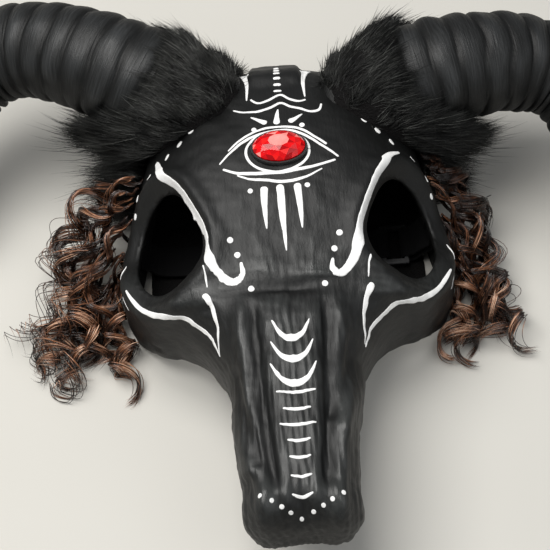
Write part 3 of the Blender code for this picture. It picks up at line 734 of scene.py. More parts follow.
# seven short bars over the crown, then seven down the muzzle, and three chevrons between
CROWN_BARS = ((116, 3.4), (113, 3.8), (109.5, 4.2), (105.5, 4.6), (100.5, 5.0), (95, 5.2), (88.5, 5.6))
for number, (y, width) in enumerate(CROWN_BARS, 1):
    stroke([(1.5 - width / 2, y), (1.5, y + 0.3), (1.5 + width / 2, y)], (2.2,), f"crown_bar_{number}")
MUZZLE_BARS = ((136, 12), (147, 8.5), (157, 11), (167, 7), (177.5, 6.5), (189, 6.3), (200, 6.3))
for number, (y, half) in enumerate(MUZZLE_BARS, 1):
    points = [(0.5 - half, 0.8 - y), (0.5, -y - 0.5), (0.5 + half, 0.9 - y)]
    stroke(points, (1.0, 2.0, 2.2, 1.0), f"muzzle_bar_{number}")
CHEVRONS = ((87, 100, 11.5), (101, 114.5, 13), (116, 130.5, 14))
for number, (top, bottom, half) in enumerate(CHEVRONS, 1):
    low = top + (bottom - top) * 0.75
    points = [(-half, -top), (-half * 0.55, -low), (0.3, -bottom), (half * 0.6, -low), (half, -top)]
    stroke(points, (0.6, 3.0, 5.4, 3.0, 0.6), f"chevron_{number}")
TIP_DOT_ROWS = (-199, -202, -205, -207.5, -209, -208, -206, -203, -200)
for number, spot in enumerate(zip((-24, -17.5, -12, -7, -1, 6, 12, 17.5, 24), TIP_DOT_ROWS), 1):
    dot(spot, 3.0, f"tip_dot_{number}")

# tears over the gem and drops under it
stroke([(-17.5, 63), (-12, 59.5), (-7, 56.5)], (0.6, 2.8, 4.8), "tear_left")
stroke([(1, 69), (0, 62), (-0.5, 55)], (0.6, 3.0, 5.4), "tear_middle")
stroke([(17, 63.5), (12, 59), (7.5, 56)], (0.6, 2.8, 5.0), "tear_right")
stroke([(-11, 5), (-11.5, -7), (-11, -23)], (5.0, 4.2, 0.7), "drop_left")
stroke([(-1, 6), (-0.5, -14), (0.5, -38)], (5.4, 4.6, 0.7), "drop_middle")
stroke([(10, 6), (11, -8), (11.5, -24)], (5.2, 4.2, 0.7), "drop_right")
for number, spot in enumerate(((-15.5, 51.5), (16, 52.5), (-20, 2.5), (16.5, 4)), 1):
    dot(spot, 3.6, f"gem_dot_{number}")

# brow swirls: x, y, z, width
BROWS = {
    "brow_swirl_left": (
        (-83, 53, 88, 3.4), (-78, 36, 97, 6.4), (-70, 23, 102, 7.8), (-63, 9, 104, 8.4),
        (-58, -6, 105, 8.2), (-54, -20, 105, 7.6), (-50, -33, 104, 6.8), (-46, -44, 103, 6.2),
        (-40, -52, 101, 5.8), (-33, -55, 100, 5.2), (-28, -51, 101, 4.2), (-28.5, -43, 104, 1.4),
    ),
    "brow_swirl_right": (
        (78, 38, 99, 1.4), (70, 31, 105, 3.4), (63, 18, 109, 5.6), (57, 4, 110, 7.2),
        (53, -8, 109, 8.2), (49.5, -20, 108, 8.2), (46.5, -31, 106, 7.6), (44, -41, 104, 6.8),
        (39, -49, 101, 6.0), (33, -54, 100, 5.2), (28.5, -51, 101, 4.2), (29, -44, 103, 1.4),
    ),
}
for name, table in BROWS.items():
    table = np.array(table)
    stroke(table[:, :3], table[:, 3], name)

# marks of each side, written for +X: control points with z, and widths
SIDE_MARKS = {
    "cheek_long": (
        (
            (106, -29, 58), (102, -38, 61), (96, -48, 65), (87, -57, 71), (76, -63, 77), (65, -67, 79),
            (57, -74, 78), (50, -84, 79), (45, -95, 77),
        ),
        (0.8, 2.6, 3.6, 4.0, 4.0, 3.6, 3.0, 0.7),
    ),
    "cheek_short": (
        ((53, -60, 96), (49, -66, 94), (47, -73, 91), (45.5, -83, 86), (45, -94, 78)),
        (4.2, 3.6, 3.2, 2.2, 0.6),
    ),
    "socket_dash": (((52, -42, 101), (50.5, -56, 97)), (0.7, 1.4, 0.7)),
}
# x, y, z and size of the row of dots outside each brow
OUTLINE_DOTS = (
    (51.5, 69, 108, 3.4), (57.5, 62.5, 107, 4.4), (66, 55, 104, 4.6), (74.5, 49, 98, 4.4),
    (88, 44, 84, 4.4), (97, 36, 72, 4.4), (101, 27, 64, 4.0),
)
OUTLINE_DASH = ((107.5, -4, 52), (109, -18, 48), (106, -36, 46))
for side, label in ((-1, "left"), (1, "right")):
    stroke([(side * 21, 114), (side * 19, 100), (side * 19.5, 81)], (6.5, 3.0, 0.8), f"crown_side_{label}")
    cap = [(side * 25, 113.5), (side * 21, 110), (side * 17, 111.5)]
    stroke(cap, (0.8, 2.0, 0.8), f"crown_cap_{label}")
    for number, (x, y) in enumerate(((34.5, -28), (30.5, -38), (23, -60.5)), 1):
        dot((side * x, y), 4.2, f"brow_dot_{label}_{number}")
    for name, (points, widths) in SIDE_MARKS.items():
        stroke(np.array(points) * (side, 1, 1), widths, f"{name}_{label}")
    for number, (x, y, z, size) in enumerate(OUTLINE_DOTS, 1):
        dot((side * x, y, z), size * 0.72, f"outline_dot_{label}_{number}", 1.6, side * 0.8)
    stroke(np.array(OUTLINE_DASH) * (side, 1, 1), (0.6, 1.8, 0.6), f"outline_dash_{label}")

# ---------------------------------------------------------------- horns

# centrelines, both written for the +X side: x, y, z, radius
HORN_RIGHT = (
    (54, 92, 78, 35), (73, 95, 94, 36), (94, 98, 103, 36), (117, 102, 106, 35), (142, 107, 104, 33.5),
    (168, 112, 97, 32), (191, 109, 88, 30), (207, 95, 78, 28), (215, 74, 67, 25.5), (219, 49, 56, 22.5),
    (222, 24, 46, 18.5), (227, 2, 37, 14), (234, -16, 31, 9), (242, -31, 28, 4),
)
HORN_LEFT = (
    (48, 94, 80, 35), (66, 99, 97, 36), (86, 106, 107, 36), (109, 117, 113, 35), (135, 130, 114, 33.5),
    (164, 143, 109, 32), (191, 146, 101, 30), (213, 137, 91, 28), (226, 118, 79, 25.5),
    (233, 93, 66, 22.5), (239, 69, 54, 18.5), (246, 46, 44, 14), (254, 28, 36, 9), (262, 14, 31, 4),
)
RIB_COUNT = 21
RIB_ROWS = 17
HORN_SIDES = 52


class HornPath:
    """Places, radii and directions along one horn, by distance from its base."""

    def __init__(self, table, side):
        self.fine = cubic(np.linspace(0, len(table) - 1, 700), table)
        self.fine[:, 0] *= side
        self.run = run_of(self.fine[:, :3])
        self.length = self.run[-1]
        tangent = unit(np.gradient(self.fine[:, :3], axis=0))
        up = unit(np.array([0.0, 0.0, 1.0]) - tangent[0] * tangent[0, 2])
        ups = []
        for way in tangent:
            up = unit(up - way * (up @ way))
            ups.append(up)
        self.frames = np.concatenate([tangent, np.array(ups), np.cross(tangent, ups)], 1)

    def at(self, distance):
        """Centre, radius, and the along, up and side directions."""
        row = np.stack([np.interp(distance, self.run, self.fine[:, k]) for k in range(4)], -1)
        ways = np.stack([np.interp(distance, self.run, self.frames[:, k]) for k in range(9)], -1)
        return row[..., :3], row[..., 3], unit(ways[..., :3]), unit(ways[..., 3:6]), unit(ways[..., 6:])


HORNS = {"right": HornPath(HORN_RIGHT, 1), "left": HornPath(HORN_LEFT, -1)}


def add_horn(label, seed):
    path = HORNS[label]
    bm, share_round, share_long = flat_grid(RIB_COUNT * RIB_ROWS, HORN_SIDES)
    turn = share_round * 2 * math.pi
    distance = share_long * path.length
    centre, radius, _, up, side = path.at(distance)
    out = up * np.cos(turn)[:, None] + side * np.sin(turn)[:, None]
    rough = centre + out * radius[:, None]
    # ribs: broad swells with a sharp crease between, wandering a little round the horn
    phase = share_long * RIB_COUNT + 0.10 * ripple(rough, 55.0, seed) + 0.05 * np.cos(turn - 0.6)
    saw = phase - np.floor(phase)
    swell = np.abs(np.sin(math.pi * saw**0.84)) ** 0.42
    depth = blend(1.0, 0.72, share_long) * (0.75 + 0.25 * ripple(rough, 30.0, seed + 1))
    rib = (swell - 0.45) * 4.0 * depth
    small = np.sin(2 * math.pi * (phase * 6 + 0.5 * ripple(rough, 22.0, seed + 2)))
    small = small * 0.13 * (0.5 + 0.5 * ripple(rough, 18.0, seed + 3)) * depth
    lumps = 0.35 * ripple(rough, 40.0, seed + 4)
    taper = np.sqrt(np.clip(1 - share_long**18, 0, 1))
    # painted shade on the horn near its base, where the fur covers it
    beyond_fur_shade = blend(25, 55, distance)
    reach = (radius + rib + small + lumps) * np.where(share_long > 0.999, 0, taper)
    reach[share_long < 0.001] = 0.0
    set_places(bm, centre + out * reach[:, None])
    # painted highlight on the side that faces up and forward, times lighter rib swells for wear
    front_highlight = bump((out @ np.array([0.0, -0.45, 0.89])) - 0.95, 0.42)
    worn_and_lit = np.clip(0.15 + 1.1 * (swell - 0.55) * depth + 1.4 * small, 0, 1) * (0.15 + 0.85 * front_highlight) * beyond_fur_shade
    set_rub_and_light(bm, worn_and_lit)
    close_up(bm)
    horn = add_piece(to_mesh(bm, "ram_horn_" + label), HORN)
    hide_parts("horn_" + label)


add_horn("right", 31)
add_horn("left", 41)

# ---------------------------------------------------------------- strands


def strand_template(rings):
    """One closed three-sided strand with rings one apart in z and a pointed end."""
    bm = bmesh.new()
    bmesh.ops.create_circle(bm, cap_ends=True, segments=3, radius=1.0)
    bmesh.ops.reverse_faces(bm, faces=bm.faces)
    top = list(bm.faces)
    for level in range(rings - 1):
        made = bmesh.ops.extrude_face_region(bm, geom=top, use_keep_orig=(level == 0))
        top = [g for g in made["geom"] if isinstance(g, bmesh.types.BMFace)]
        moved = [g for g in made["geom"] if isinstance(g, bmesh.types.BMVert)]
        bmesh.ops.translate(bm, vec=(0, 0, 1), verts=moved)
    bmesh.ops.pointmerge(bm, verts=moved, merge_co=(0, 0, rings - 1))
    bmesh.ops.recalc_face_normals(bm, faces=bm.faces)
    bm.verts.index_update()
    spots = np.array([v.co for v in bm.verts])
    faces = [[v.index for v in f.verts] for f in bm.faces]
    bm.free()
    return spots, faces


def strands(name, lines, radii, across, shade, finish):
    """Lays one copy of the strand along each line. lines is strands x rings x 3, in millimetres,
    and shade has one value per strand or one per ring."""
    count, rings = lines.shape[:2]
    spots, faces = strand_template(rings)
    level = np.rint(spots[:, 2]).astype(int)
    tangent = unit(np.gradient(lines, axis=1))
    side = unit(across - tangent * (across * tangent).sum(-1, keepdims=True))
    up = np.cross(tangent, side)
    radii = np.broadcast_to(radii, (count, rings))[:, level, None]
    body = lines[:, level] + side[:, level] * spots[:, 0, None] * radii
    body = body + up[:, level] * spots[:, 1, None] * radii
    sizes = np.array([len(f) for f in faces])
    corners = np.concatenate(faces)
    mesh = bpy.data.meshes.new(name)
    mesh.vertices.add(count * len(spots))
    mesh.vertices.foreach_set("co", into_frame(body).astype(np.float32).ravel())
    mesh.loops.add(count * len(corners))
    step = np.arange(count)[:, None] * len(spots)
    mesh.loops.foreach_set("vertex_index", (corners + step).astype(np.int32).ravel())
    mesh.polygons.add(count * len(faces))
    starts = np.concatenate([[0], np.cumsum(sizes)[:-1]])
    starts = starts + np.arange(count)[:, None] * len(corners)
    mesh.polygons.foreach_set("loop_start", starts.astype(np.int32).ravel())
    mesh.update(calc_edges=True)
    layer = mesh.attributes.new("shade", "FLOAT", "POINT")
    shade = np.broadcast_to(shade.reshape(count, -1), (count, rings))[:, level]
    layer.data.foreach_set("value", shade.astype(np.float32).ravel())
    return add_piece(mesh, finish)


def clumped(roots, tips, every, pull, draw):
    """Draws the tips of neighbouring strands together into tufts."""
    heads = draw.choice(len(roots), max(2, len(roots) // every), replace=False)
    finder = KDTree(len(heads))
    for number, head in enumerate(heads):
        finder.insert(roots[head], number)
    finder.balance()
    own = np.array([heads[finder.find(r)[1]] for r in roots])
    share = pull * draw.uniform(0.5, 1.0, len(roots))[:, None]
    return tips + (tips[own] - tips) * share


# ---------------------------------------------------------------- fur

COLLAR_FROM = 8.0
COLLAR_TO = 82.0
COLLAR_DEPTH = 15.0
PILE_TOP = 155.0
COLLAR_PIECES = 4
COLLAR_HAIRS = 6200
TEMPLE_HAIRS = 5400
HAIR_RADII = np.array([0.205, 0.195, 0.13, 0.0])


def collar_reach(distance, radius):
    share = np.clip((distance - COLLAR_FROM) / (COLLAR_TO - COLLAR_FROM), 0, 1)
    return radius + 3.6 + (COLLAR_DEPTH - 2.0) * np.sqrt(np.clip(1 - share**2.2, 0, 1))


def fur_piece(name, root, middle, tip, draw):
    """Strands bent from root to tip, kept off the floor and under the highest pile."""
    u = np.linspace(0, 1, 4)[None, :, None]
    line = root[:, None] * (1 - u) ** 2 + middle[:, None] * 2 * u * (1 - u) + tip[:, None] * u**2
    high = line[..., 2] - PILE_TOP
    line[..., 2] = np.where(high > 0, PILE_TOP + 7 * np.tanh(high / 12), line[..., 2])
    line[..., 2] = np.maximum(line[..., 2], 1.5)
    count = len(root)
    thick = HAIR_RADII * draw.uniform(0.8, 1.35, (count, 1))
    glints = draw.uniform(0, 1, count) < 0.07
    shade = np.where(glints, draw.uniform(0.8, 1.0, count), draw.uniform(0, 0.4, count))
    return strands(name, line, thick, draw.normal(size=(count, 1, 3)), shade, FUR)


def add_backing(label):
    """The hide under the pile, round the horn's base."""
    bm, share_round, share_long = flat_grid(26, 40)
    turn = share_round * 2 * math.pi
    distance = 2.0 + share_long * 46.0
    centre, radius, _, up, cross = HORNS[label].at(distance)
    out = up * np.cos(turn)[:, None] + cross * np.sin(turn)[:, None]
    under = blend(0.5, -0.7, out[:, 2])
    full = np.sin(math.pi * np.clip(share_long * 0.97 + 0.03, 0, 1)) ** 0.4
    extra = (collar_reach(distance, radius) - radius) * full * (0.1 + 0.9 * under)
    reach = radius + 1.5 + 0.40 * extra
    reach = reach * np.where((share_long < 0.001) | (share_long > 0.999), 0.0, 1.0)
    set_places(bm, centre + out * reach[:, None])
    close_up(bm)
    backing = add_piece(to_mesh(bm, "fur_backing_" + label), BACKING)
    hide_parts("fur_collar_" + label)


def add_pile(label, part, seed):
    """One share of the collar's hairs: longer and hanging under the horn, short at its end."""
    path = HORNS[label]
    draw = np.random.default_rng(seed + part)
    tries = COLLAR_HAIRS * 3
    turn = draw.uniform(0, 2 * math.pi, tries)
    _, _, _, up, cross = path.at(np.full(tries, 30.0))
    under = blend(0.6, -0.5, np.cos(turn) * up[:, 2] + np.sin(turn) * cross[:, 2])
    distance = 1.0 + (36.0 + 26.0 * under) * draw.uniform(0, 1, tries) ** 0.85
    distance[draw.uniform(0, 1, tries) < 0.16] *= 0.12
    centre, radius, along, up, cross = path.at(distance)
    out = up * np.cos(turn)[:, None] + cross * np.sin(turn)[:, None]
    under = blend(0.5, -0.7, out[:, 2])
    extra = 0.6 + (collar_reach(distance, radius) - radius) * draw.uniform(0.0, 0.45, tries) * under
    root = centre + out * (radius + extra - 1.5 * (1 - under) * blend(30, 0, distance))[:, None]
    keep = np.flatnonzero(off_skull(root)[0] > -1.5)[:COLLAR_HAIRS]
    root, out, along, distance = root[keep], out[keep], along[keep], distance[keep]
    count = len(keep)
    late = blend(0, 45, distance)
    low = blend(0.3, -0.8, out[:, 2])
    lean = (0.9 + 1.3 * late + 0.28 * draw.normal(size=count))[:, None]
    fall = (0.12 + 0.30 * low + 0.08 * draw.normal(size=count))[:, None]
    stray = draw.normal(size=(count, 3)) * 0.22
    swirl = np.stack([ripple(root, 20.0, seed + 5 + k) for k in range(3)], -1) * 0.36
    lift = out * (0.30 + 0.35 * low)[:, None]
    way = unit(lift + along * lean + np.array([0.0, -0.25, -1.0]) * fall + stray + swirl)
    length = (11 + 13 * draw.uniform(0, 1, count) ** 1.5) * (0.75 + 0.45 * blend(0, 30, distance))
    length *= 1 + 0.75 * low * blend(6, 40, distance)
    wisp = draw.uniform(0, 1, count) < 0.05
    length[wisp] *= 1.6
    tip = clumped(root, root + way * length[:, None], 20, 0.5, draw)
    middle = root + (tip - root) * 0.45 + out * (length * (0.10 + 0.08 * low))[:, None]
    fur_piece(f"fur_pile_{label}_{part + 1}", root, middle, tip, draw)


for label, seed in (("right", 100), ("left", 200)):
    add_backing(label)
    for part in range(COLLAR_PIECES):
        add_pile(label, part, seed)


def add_temple(side, label, seed):
    """Fur below the horn on each temple, swept outward."""
    draw = np.random.default_rng(seed)
    count = TEMPLE_HAIRS
    t = draw.uniform(3.1, 4.3, count)
    low = np.interp(t, [3.1, 3.8, 4.3], [62, 56, 64])
    a = np.radians(low + (82.0 - low) * draw.uniform(0, 1, count))
    root = sculpt(t, side * a)
    out = normal_of(sculpt, t, side * a)
    full = np.sin(math.pi * (t - 3.1) / 1.2)
    root = root + out * (0.5 + 7.0 * full)[:, None] * draw.uniform(0, 1, count)[:, None]
    flow = np.array([side * 1.0, 0.06, 0.16])
    swirl = np.stack([ripple(root, 24.0, seed + k) for k in range(3)], -1) * 0.30
    way = unit(out * 0.3 + flow + swirl + draw.normal(size=(count, 3)) * 0.18)
    length = (14 + 24 * draw.uniform(0, 1, count) ** 1.3) * (0.55 + 0.75 * full)
    length[draw.uniform(0, 1, count) < 0.07] *= 1.5
    tip = clumped(root, root + way * length[:, None], 20, 0.6, draw)
    tip[:, 2] -= 0.0035 * length**2
    middle = root + (tip - root) * 0.5 + np.array([0, 0, 1.0]) * (length * 0.12)[:, None]
    fur = fur_piece("temple_pile_" + label, root, middle, tip, draw)
    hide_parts("fur_temple_" + label)


add_temple(1, "right", 300)
add_temple(-1, "left", 320)

# ---------------------------------------------------------------- curled hair

# centrelines of the bunches on the +X side, each for the solid of its number, with its ringlets
LOCKS = (
    (1, 2, ((101, 48, 44), (103, 42, 24), (107, 34, 10), (110, 22, 9), (114, 10, 10))),
    (2, 2, ((103, 36, 36), (106, 30, 18), (109, 22, 10), (113, 10, 9), (116, -4, 9))),
    (1, 4, ((100, 56, 66), (112, 54, 60), (126, 50, 50), (140, 42, 38), (152, 28, 24), (158, 10, 13))),
    (1, 3, ((104, 48, 56), (118, 46, 48), (132, 38, 36), (146, 22, 22), (150, 4, 12), (154, -14, 9))),
    (2, 4, ((108, 38, 50), (122, 32, 40), (136, 18, 28), (146, 0, 15), (147, -20, 10), (152, -42, 9))),
    (2, 3, ((112, 26, 38), (126, 16, 30), (140, -2, 18), (154, -22, 10), (162, -40, 9), (170, -56, 9))),
    (3, 4, ((114, 20, 32), (126, 10, 24), (133, -8, 14), (132, -28, 10), (128, -46, 9), (131, -62, 9))),
    (3, 3, ((116, 8, 26), (124, -4, 18), (140, -22, 12), (150, -38, 9), (148, -56, 9), (142, -70, 9))),
    (4, 4, ((116, 0, 20), (121, -14, 13), (120, -30, 10), (116, -44, 9), (112, -58, 9), (114, -70, 9))),
)
# and the looser, outermost ones, which only the -X side has
SPARSE = (
    (1, 2, ((108, 50, 50), (128, 46, 44), (150, 34, 30), (164, 14, 18), (166, -6, 12))),
    (2, 4, ((124, 24, 34), (146, 4, 20), (164, -14, 12), (176, -30, 9), (186, -34, 8))),
    (2, 3, ((124, 14, 30), (146, -10, 18), (160, -30, 11), (168, -46, 9), (178, -54, 8))),
    (3, 3, ((120, 4, 24), (138, -20, 14), (150, -40, 9), (160, -56, 8), (170, -58, 8))),
)
FIBRES = 26
FIBRE_POINTS = 48
FIBRE_RADIUS = 0.27
FIBRE_TIP = np.linspace(0.25, 0.0, 6)
LOOSE_KIND = {"fibres": 7, "loose_share": 0.8, "size": (6.0, 12.0)}
HAIR_FROM = 100
RIGHT_REACH = 0.74
HAIR_LOWEST = 0.8
HAIR_CLEAR = 1.5
MOST_MOVED = 14
# way toward the key light, for the curls' painted highlights
PAINTED_HIGHLIGHT_WAY = unit(np.array([-0.25, 0.30, 0.92]))


def ringlet(path, draw, fibres=FIBRES, loose_share=0.06, size=(5.5, 10.5)):
    """Fibres of one ringlet: a flat ribbon of them coiled about its line."""
    way = path + np.cumsum(draw.normal(size=path.shape) * (2.6, 2.6, 1.2), 0) * 0.8
    way += draw.normal(size=3) * (3.0, 4.0, 3.0)
    where = np.linspace(0, (len(way) - 1) * draw.uniform(0.8, 1.0), FIBRE_POINTS)
    axis = cubic(where, way)
    tangent = unit(np.gradient(axis, axis=0))
    up = unit(np.cross(tangent, np.array([0.3, 0.2, 1.0])))
    other = np.cross(tangent, up)
    share = np.linspace(0, 1, FIBRE_POINTS)
    turns = draw.uniform(1.8, 3.3) * draw.choice((-1, 1))
    phase = draw.uniform(0, 6.28)
    curl_size = draw.uniform(*size) * blend(-0.02, 0.45, share)
    curl_size = curl_size * (1 + 0.25 * np.sin(share * 9 + phase))
    tone = draw.uniform(0.16, 0.62)
    band = draw.uniform(2.0, 4.5)
    lines, refs, shades = [], [], []
    for k in range(fibres):
        loose = draw.uniform(0, 1) < loose_share
        spread = 1.0 + 1.6 * share * loose
        lay = (k / (fibres - 1) - 0.5) * band
        own = curl_size * (1 + draw.normal() * (0.22 if loose else 0.05))
        angle = share * turns * 2 * math.pi + phase + draw.normal() * (0.3 if loose else 0.06)
        angle = angle + 0.25 * draw.normal() * share
        drift = draw.normal(size=3) * 0.35
        drift = drift + draw.normal(size=3) * (2.5 if loose else 0.9) * share[:, None]
        out = up * np.cos(angle)[:, None] + other * np.sin(angle)[:, None]
        line = axis + out * own[:, None] + tangent * (lay * spread)[:, None] + drift
        line[:, 2] = np.maximum(line[:, 2], 0.6 + 1.2 * draw.uniform())
        lines.append(line)
        refs.append(out)
        # painted highlight where a fibre's outside faces the key light, and a weaker one on the side facing
        # away
        painted_highlight = np.clip(out @ PAINTED_HIGHLIGHT_WAY, 0, 1) ** 3 + 0.6 * np.clip(-out @ PAINTED_HIGHLIGHT_WAY, 0, 1) ** 4
        own_tone = tone + 0.24 * math.sin(k * 0.9) + draw.normal() * 0.10 - 0.18
        shades.append(np.clip(own_tone + painted_highlight * draw.uniform(0.25, 0.75), 0, 1))
    return lines, refs, shades


def clear_of_skull(lines):
    """The same lines, with any point that lies in the shell moved out of it."""
    spots = lines.reshape(-1, 3)
    gap, out = off_skull(spots)
    spots = spots + out * np.clip(HAIR_CLEAR - gap, 0, MOST_MOVED)[:, None]
    spots[:, 2] = np.maximum(spots[:, 2], HAIR_LOWEST)
    return spots.reshape(lines.shape)


def add_locks(side, label, number):
    """The ringlets that stand for one lock's solid, on one side."""
    draw = np.random.default_rng(700 + 10 * number + side)
    lines, refs, shades = [], [], []
    bunches = [(bunch, {}) for bunch in LOCKS]
    if side < 0:
        bunches += [(bunch, LOOSE_KIND) for bunch in SPARSE]
    for (owner, ringlets, path), kind in bunches:
        path = np.array(path, float)
        path[:, 0] = HAIR_FROM + (path[:, 0] - HAIR_FROM) * (RIGHT_REACH if side > 0 else 1.0)
        for _ in range(ringlets if owner == number else 0):
            made = ringlet(path, draw, **kind)
            lines += made[0]
            refs += made[1]
            shades += made[2]
    thick = np.full(FIBRE_POINTS, FIBRE_RADIUS)
    thick[-len(FIBRE_TIP) :] = FIBRE_TIP
    lines = clear_of_skull(np.array(lines)) * (side, 1, 1)
    across = np.array(refs) * (side, 1, 1)
    piece = strands(f"curls_{label}_{number}", lines, thick, across, np.array(shades), CURLS)
    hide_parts(f"hair_lock_{label}_{number}")


for side, label in ((1, "right"), (-1, "left")):
    for number in (1, 2, 3, 4):
        add_locks(side, label, number)

# ---------------------------------------------------------------- gem

GEM_HALF = (17.0, 12.25)
# scale, height, corners and phase of the girdle's rows, the facets' rows and the table
GEM_ROWS = (
    (0.95, 0.0, 20, 0.0),
    (1.0, 0.9, 20, 0.0),
    (1.0, 2.0, 20, 0.5),
    (0.86, 4.6, 20, 0.0),
    (0.66, 6.8, 10, 0.5),
    (0.40, 7.9, 10, 0.0),
)
# painted reflections: each facet's tone, from dark red to pale pink, and how often each comes
FACET_REFLECTIONS = (0.18, 0.38, 0.5, 0.6, 0.8)
FACET_ODDS = (0.3, 0.3, 0.25, 0.1, 0.05)


def add_gem():
    """Oval stone cut in facets, each with its own tone of painted reflection."""
    low, high = (np.array(v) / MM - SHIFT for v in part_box("forehead_gem"))
    up = normal_of(arch_point, np.array(5.0), np.array(0.0))
    side = np.array([1.0, 0.0, 0.0])
    along = np.cross(up, side)
    base = (low + high) / 2 - up * (high[2] - low[2]) * 0.5
    bm = bmesh.new()
    for scale, height, corners, phase in GEM_ROWS:
        for k in range(corners):
            turn = (k + phase) * 2 * math.pi / corners
            p = base + up * height + side * math.cos(turn) * GEM_HALF[0] * scale
            bm.verts.new(into_frame(p + along * math.sin(turn) * GEM_HALF[1] * scale))
    bmesh.ops.convex_hull(bm, input=bm.verts)
    bmesh.ops.dissolve_limit(bm, angle_limit=0.01, verts=bm.verts, edges=bm.edges)
    bmesh.ops.recalc_face_normals(bm, faces=bm.faces)
    draw = np.random.default_rng(8)
    reflections = [float(draw.choice(FACET_REFLECTIONS, p=FACET_ODDS)) for _ in bm.faces]
    mesh = to_mesh(bm, "red_stone")
    layer = mesh.attributes.new("shade", "FLOAT", "FACE")
    layer.data.foreach_set("value", reflections)
    gem = add_piece(mesh, STONE, smooth=False)
    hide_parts("forehead_gem")


add_gem()

# ---------------------------------------------------------------- inside and fittings

FINISHES = {
    "horn_plate": BLACKENED,
    "horn_screw": BLACKENED,
    "gem_cup": CUP,
    "hair_weft": CLOTH,
    "head_strap": CLOTH,
    "strap_tab": CLOTH,
    "strap_ring": STEEL,
    "strap_keeper": CUP,
    "strap_rivet": ENAMEL,
}
for name, node in nodes.items():
    for start, finish in FINISHES.items():
        if name.startswith(start):
            node.data.materials.clear()
            node.data.materials.append(finish)

# each pad's rows along the skull, its angles in degrees, and how much closer it lies to the wall
PADS = {
    "pad_forehead": (4.5, 5.75, -21, 21, 0.0),
    "pad_nose": (7.7, 8.6, -22, 22, -1.0),
    "pad_cheek_right": (6.75, 7.7, 66, 80, 0.0),
    "pad_cheek_left": (6.75, 7.7, -80, -66, 0.0),
}
PAD_STEPS = 34
PAD_ROUND = 0.32
PAD_EDGE = 1.2
PAD_CROWN = 6.4


def add_pad(node, t_low, t_high, a_low, a_high, closer):
    """Cloth-faced foam pad on the inner wall, crowned, with a pinched edge."""
    bm, share_a, share_t = flat_grid(PAD_STEPS, PAD_STEPS)
    edge = np.minimum(np.minimum(share_a, 1 - share_a), np.minimum(share_t, 1 - share_t))
    crown = np.sqrt(np.clip(1 - (1 - np.clip(edge / PAD_ROUND, 0, 1)) ** 2, 0, 1))
    t = t_low + (t_high - t_low) * share_t
    a = np.radians(a_low + (a_high - a_low) * share_a)
    base = sculpt(t, a)
    n = normal_of(arch_point, t, a)
    depth = WALL + GAP + 0.7 - closer
    set_places(bm, base - n * (depth + PAD_EDGE + PAD_CROWN * crown)[:, None])
    back_bm, _, _ = flat_grid(PAD_STEPS, PAD_STEPS)
    set_places(back_bm, base - n * depth)
    back = to_mesh(back_bm, "pad_back")
    bm.from_mesh(back)
    bpy.data.meshes.remove(back)
    bmesh.ops.bridge_loops(bm, edges=[e for e in bm.edges if e.is_boundary])
    bmesh.ops.recalc_face_normals(bm, faces=bm.faces)
    cover = add_piece(to_mesh(bm, node + "_cover"), CLOTH)
    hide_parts(node)


for node, sizes in PADS.items():
    add_pad(node, *sizes)

HOOD_HALF = np.array([96.0, 67.0])
HOOD_CENTRE_Y = 31
HOOD_SQUARE = 8
# thickness of the hood's cloth, in metres
HOOD_CLOTH = 0.0006


def add_hood():
    """Black cloth that lies folded flat inside the rim, with soft wrinkles."""
    half = HOOD_HALF
    bm, share_x, share_y = flat_grid(90, 100)
    x = share_x * 2 - 1
    y = share_y * 2 - 1
    square = np.maximum(np.abs(x), np.abs(y))
    reach = (np.abs(x) ** HOOD_SQUARE + np.abs(y) ** HOOD_SQUARE) ** (1 / HOOD_SQUARE)
    round_off = square / np.maximum(reach, 1e-6)
    flat = np.stack([x * round_off * half[0], HOOD_CENTRE_Y + y * round_off * half[1], x * 0], -1)
    under_strap = bump(flat[:, 1] - 28, 19)
    folds = 1.0 + 0.5 * ripple(flat, 52.0, 61, (1, 0.4, 1)) + 0.25 * ripple(flat, 17.0, 62)
    flat[:, 2] = 0.5 + np.clip(folds, 0, 3) * (1.9 - 1.5 * under_strap)
    set_places(bm, flat)
    close_up(bm)
    hood = add_piece(to_mesh(bm, "hood_lining"), HOOD)
    layer = hood.modifiers.new("cloth", "SOLIDIFY")
    layer.thickness = HOOD_CLOTH
    layer.offset = -1.0 if hood.data.polygons[0].normal.z > 0 else 1.0
    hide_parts("hood_cloth")


add_hood()

# ---------------------------------------------------------------- floor, light and camera


def paper(wire, place):
    soft = place.noise(3.0, 2.0)
    fine = place.noise(900.0, 2.0)
    return {
        "Base Color": soft.ranged(0.3, 0.7).mix((0.60, 0.585, 0.54), (0.63, 0.615, 0.57)),
        "Roughness": 0.8 + fine * 0.1,
    }


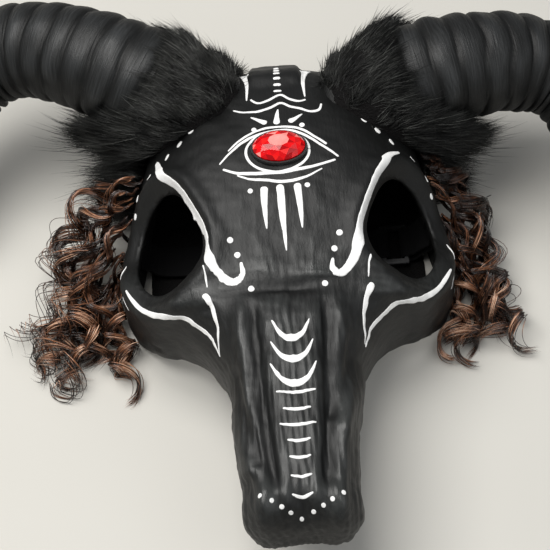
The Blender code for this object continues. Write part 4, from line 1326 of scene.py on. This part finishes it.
FLOOR_REACH = 3.0
floor_bm = bmesh.new()
bmesh.ops.create_grid(floor_bm, x_segments=2, y_segments=2, size=FLOOR_REACH)
floor = add_object("floor", to_mesh(floor_bm, "floor"))
floor.data.materials.append(make_finish("pale_paper", paper))

LIT_PLACE = (0, -20, 60)


def add_light(name, place, size, power, colour):
    """Rectangular softbox aimed at the skull."""
    light = bpy.data.lights.new(name, "AREA")
    light.shape = "RECTANGLE"
    light.size, light.size_y = size
    light.energy = power
    light.color = colour
    lamp = add_object(name, light)
    lamp.location = into_frame(place)
    way = Vector(into_frame(LIT_PLACE)) - lamp.location
    lamp.rotation_euler = way.to_track_quat("-Z", "Y").to_euler()


add_light("softbox_key", (-380, 60, 1150), (0.95, 0.95), 17.2, (1.0, 0.985, 0.96))
add_light("softbox_fill", (900, -500, 900), (1.2, 1.2), 4.0, (0.97, 0.985, 1.0))
world = bpy.data.worlds.new("studio")
world.use_nodes = True
sky = world.node_tree.nodes["Background"].inputs
sky["Color"].default_value = (0.95, 0.97, 1.0, 1.0)
sky["Strength"].default_value = 0.26
bpy.context.scene.world = world

CAMERA_TARGET = np.array([-8.3, -25.0, 60.0])
CAMERA_DISTANCE = 985.0
TURN, RISE, ROLL = (math.radians(v) for v in (1.2, 56.0, -4.9))
back = np.array([math.sin(TURN) * math.cos(RISE), -math.cos(TURN) * math.cos(RISE), math.sin(RISE)])
right = np.array([math.cos(TURN), math.sin(TURN), 0.0])
upward = np.cross(back, right)
level_x = right * math.cos(ROLL) + upward * math.sin(ROLL)
level_y = -right * math.sin(ROLL) + upward * math.cos(ROLL)
eye_place = into_frame(CAMERA_TARGET + back * CAMERA_DISTANCE)
camera_data = bpy.data.cameras.new("camera")
camera_data.lens = 98.2
camera_data.sensor_width = 36.0
camera_data.clip_start = 0.05
camera = add_object("camera", camera_data)
camera.matrix_world = Matrix(
    [(level_x[k], level_y[k], back[k], eye_place[k]) for k in range(3)] + [(0, 0, 0, 1)]
)
bpy.context.scene.camera = camera
bpy.context.scene.view_settings.view_transform = "Standard"
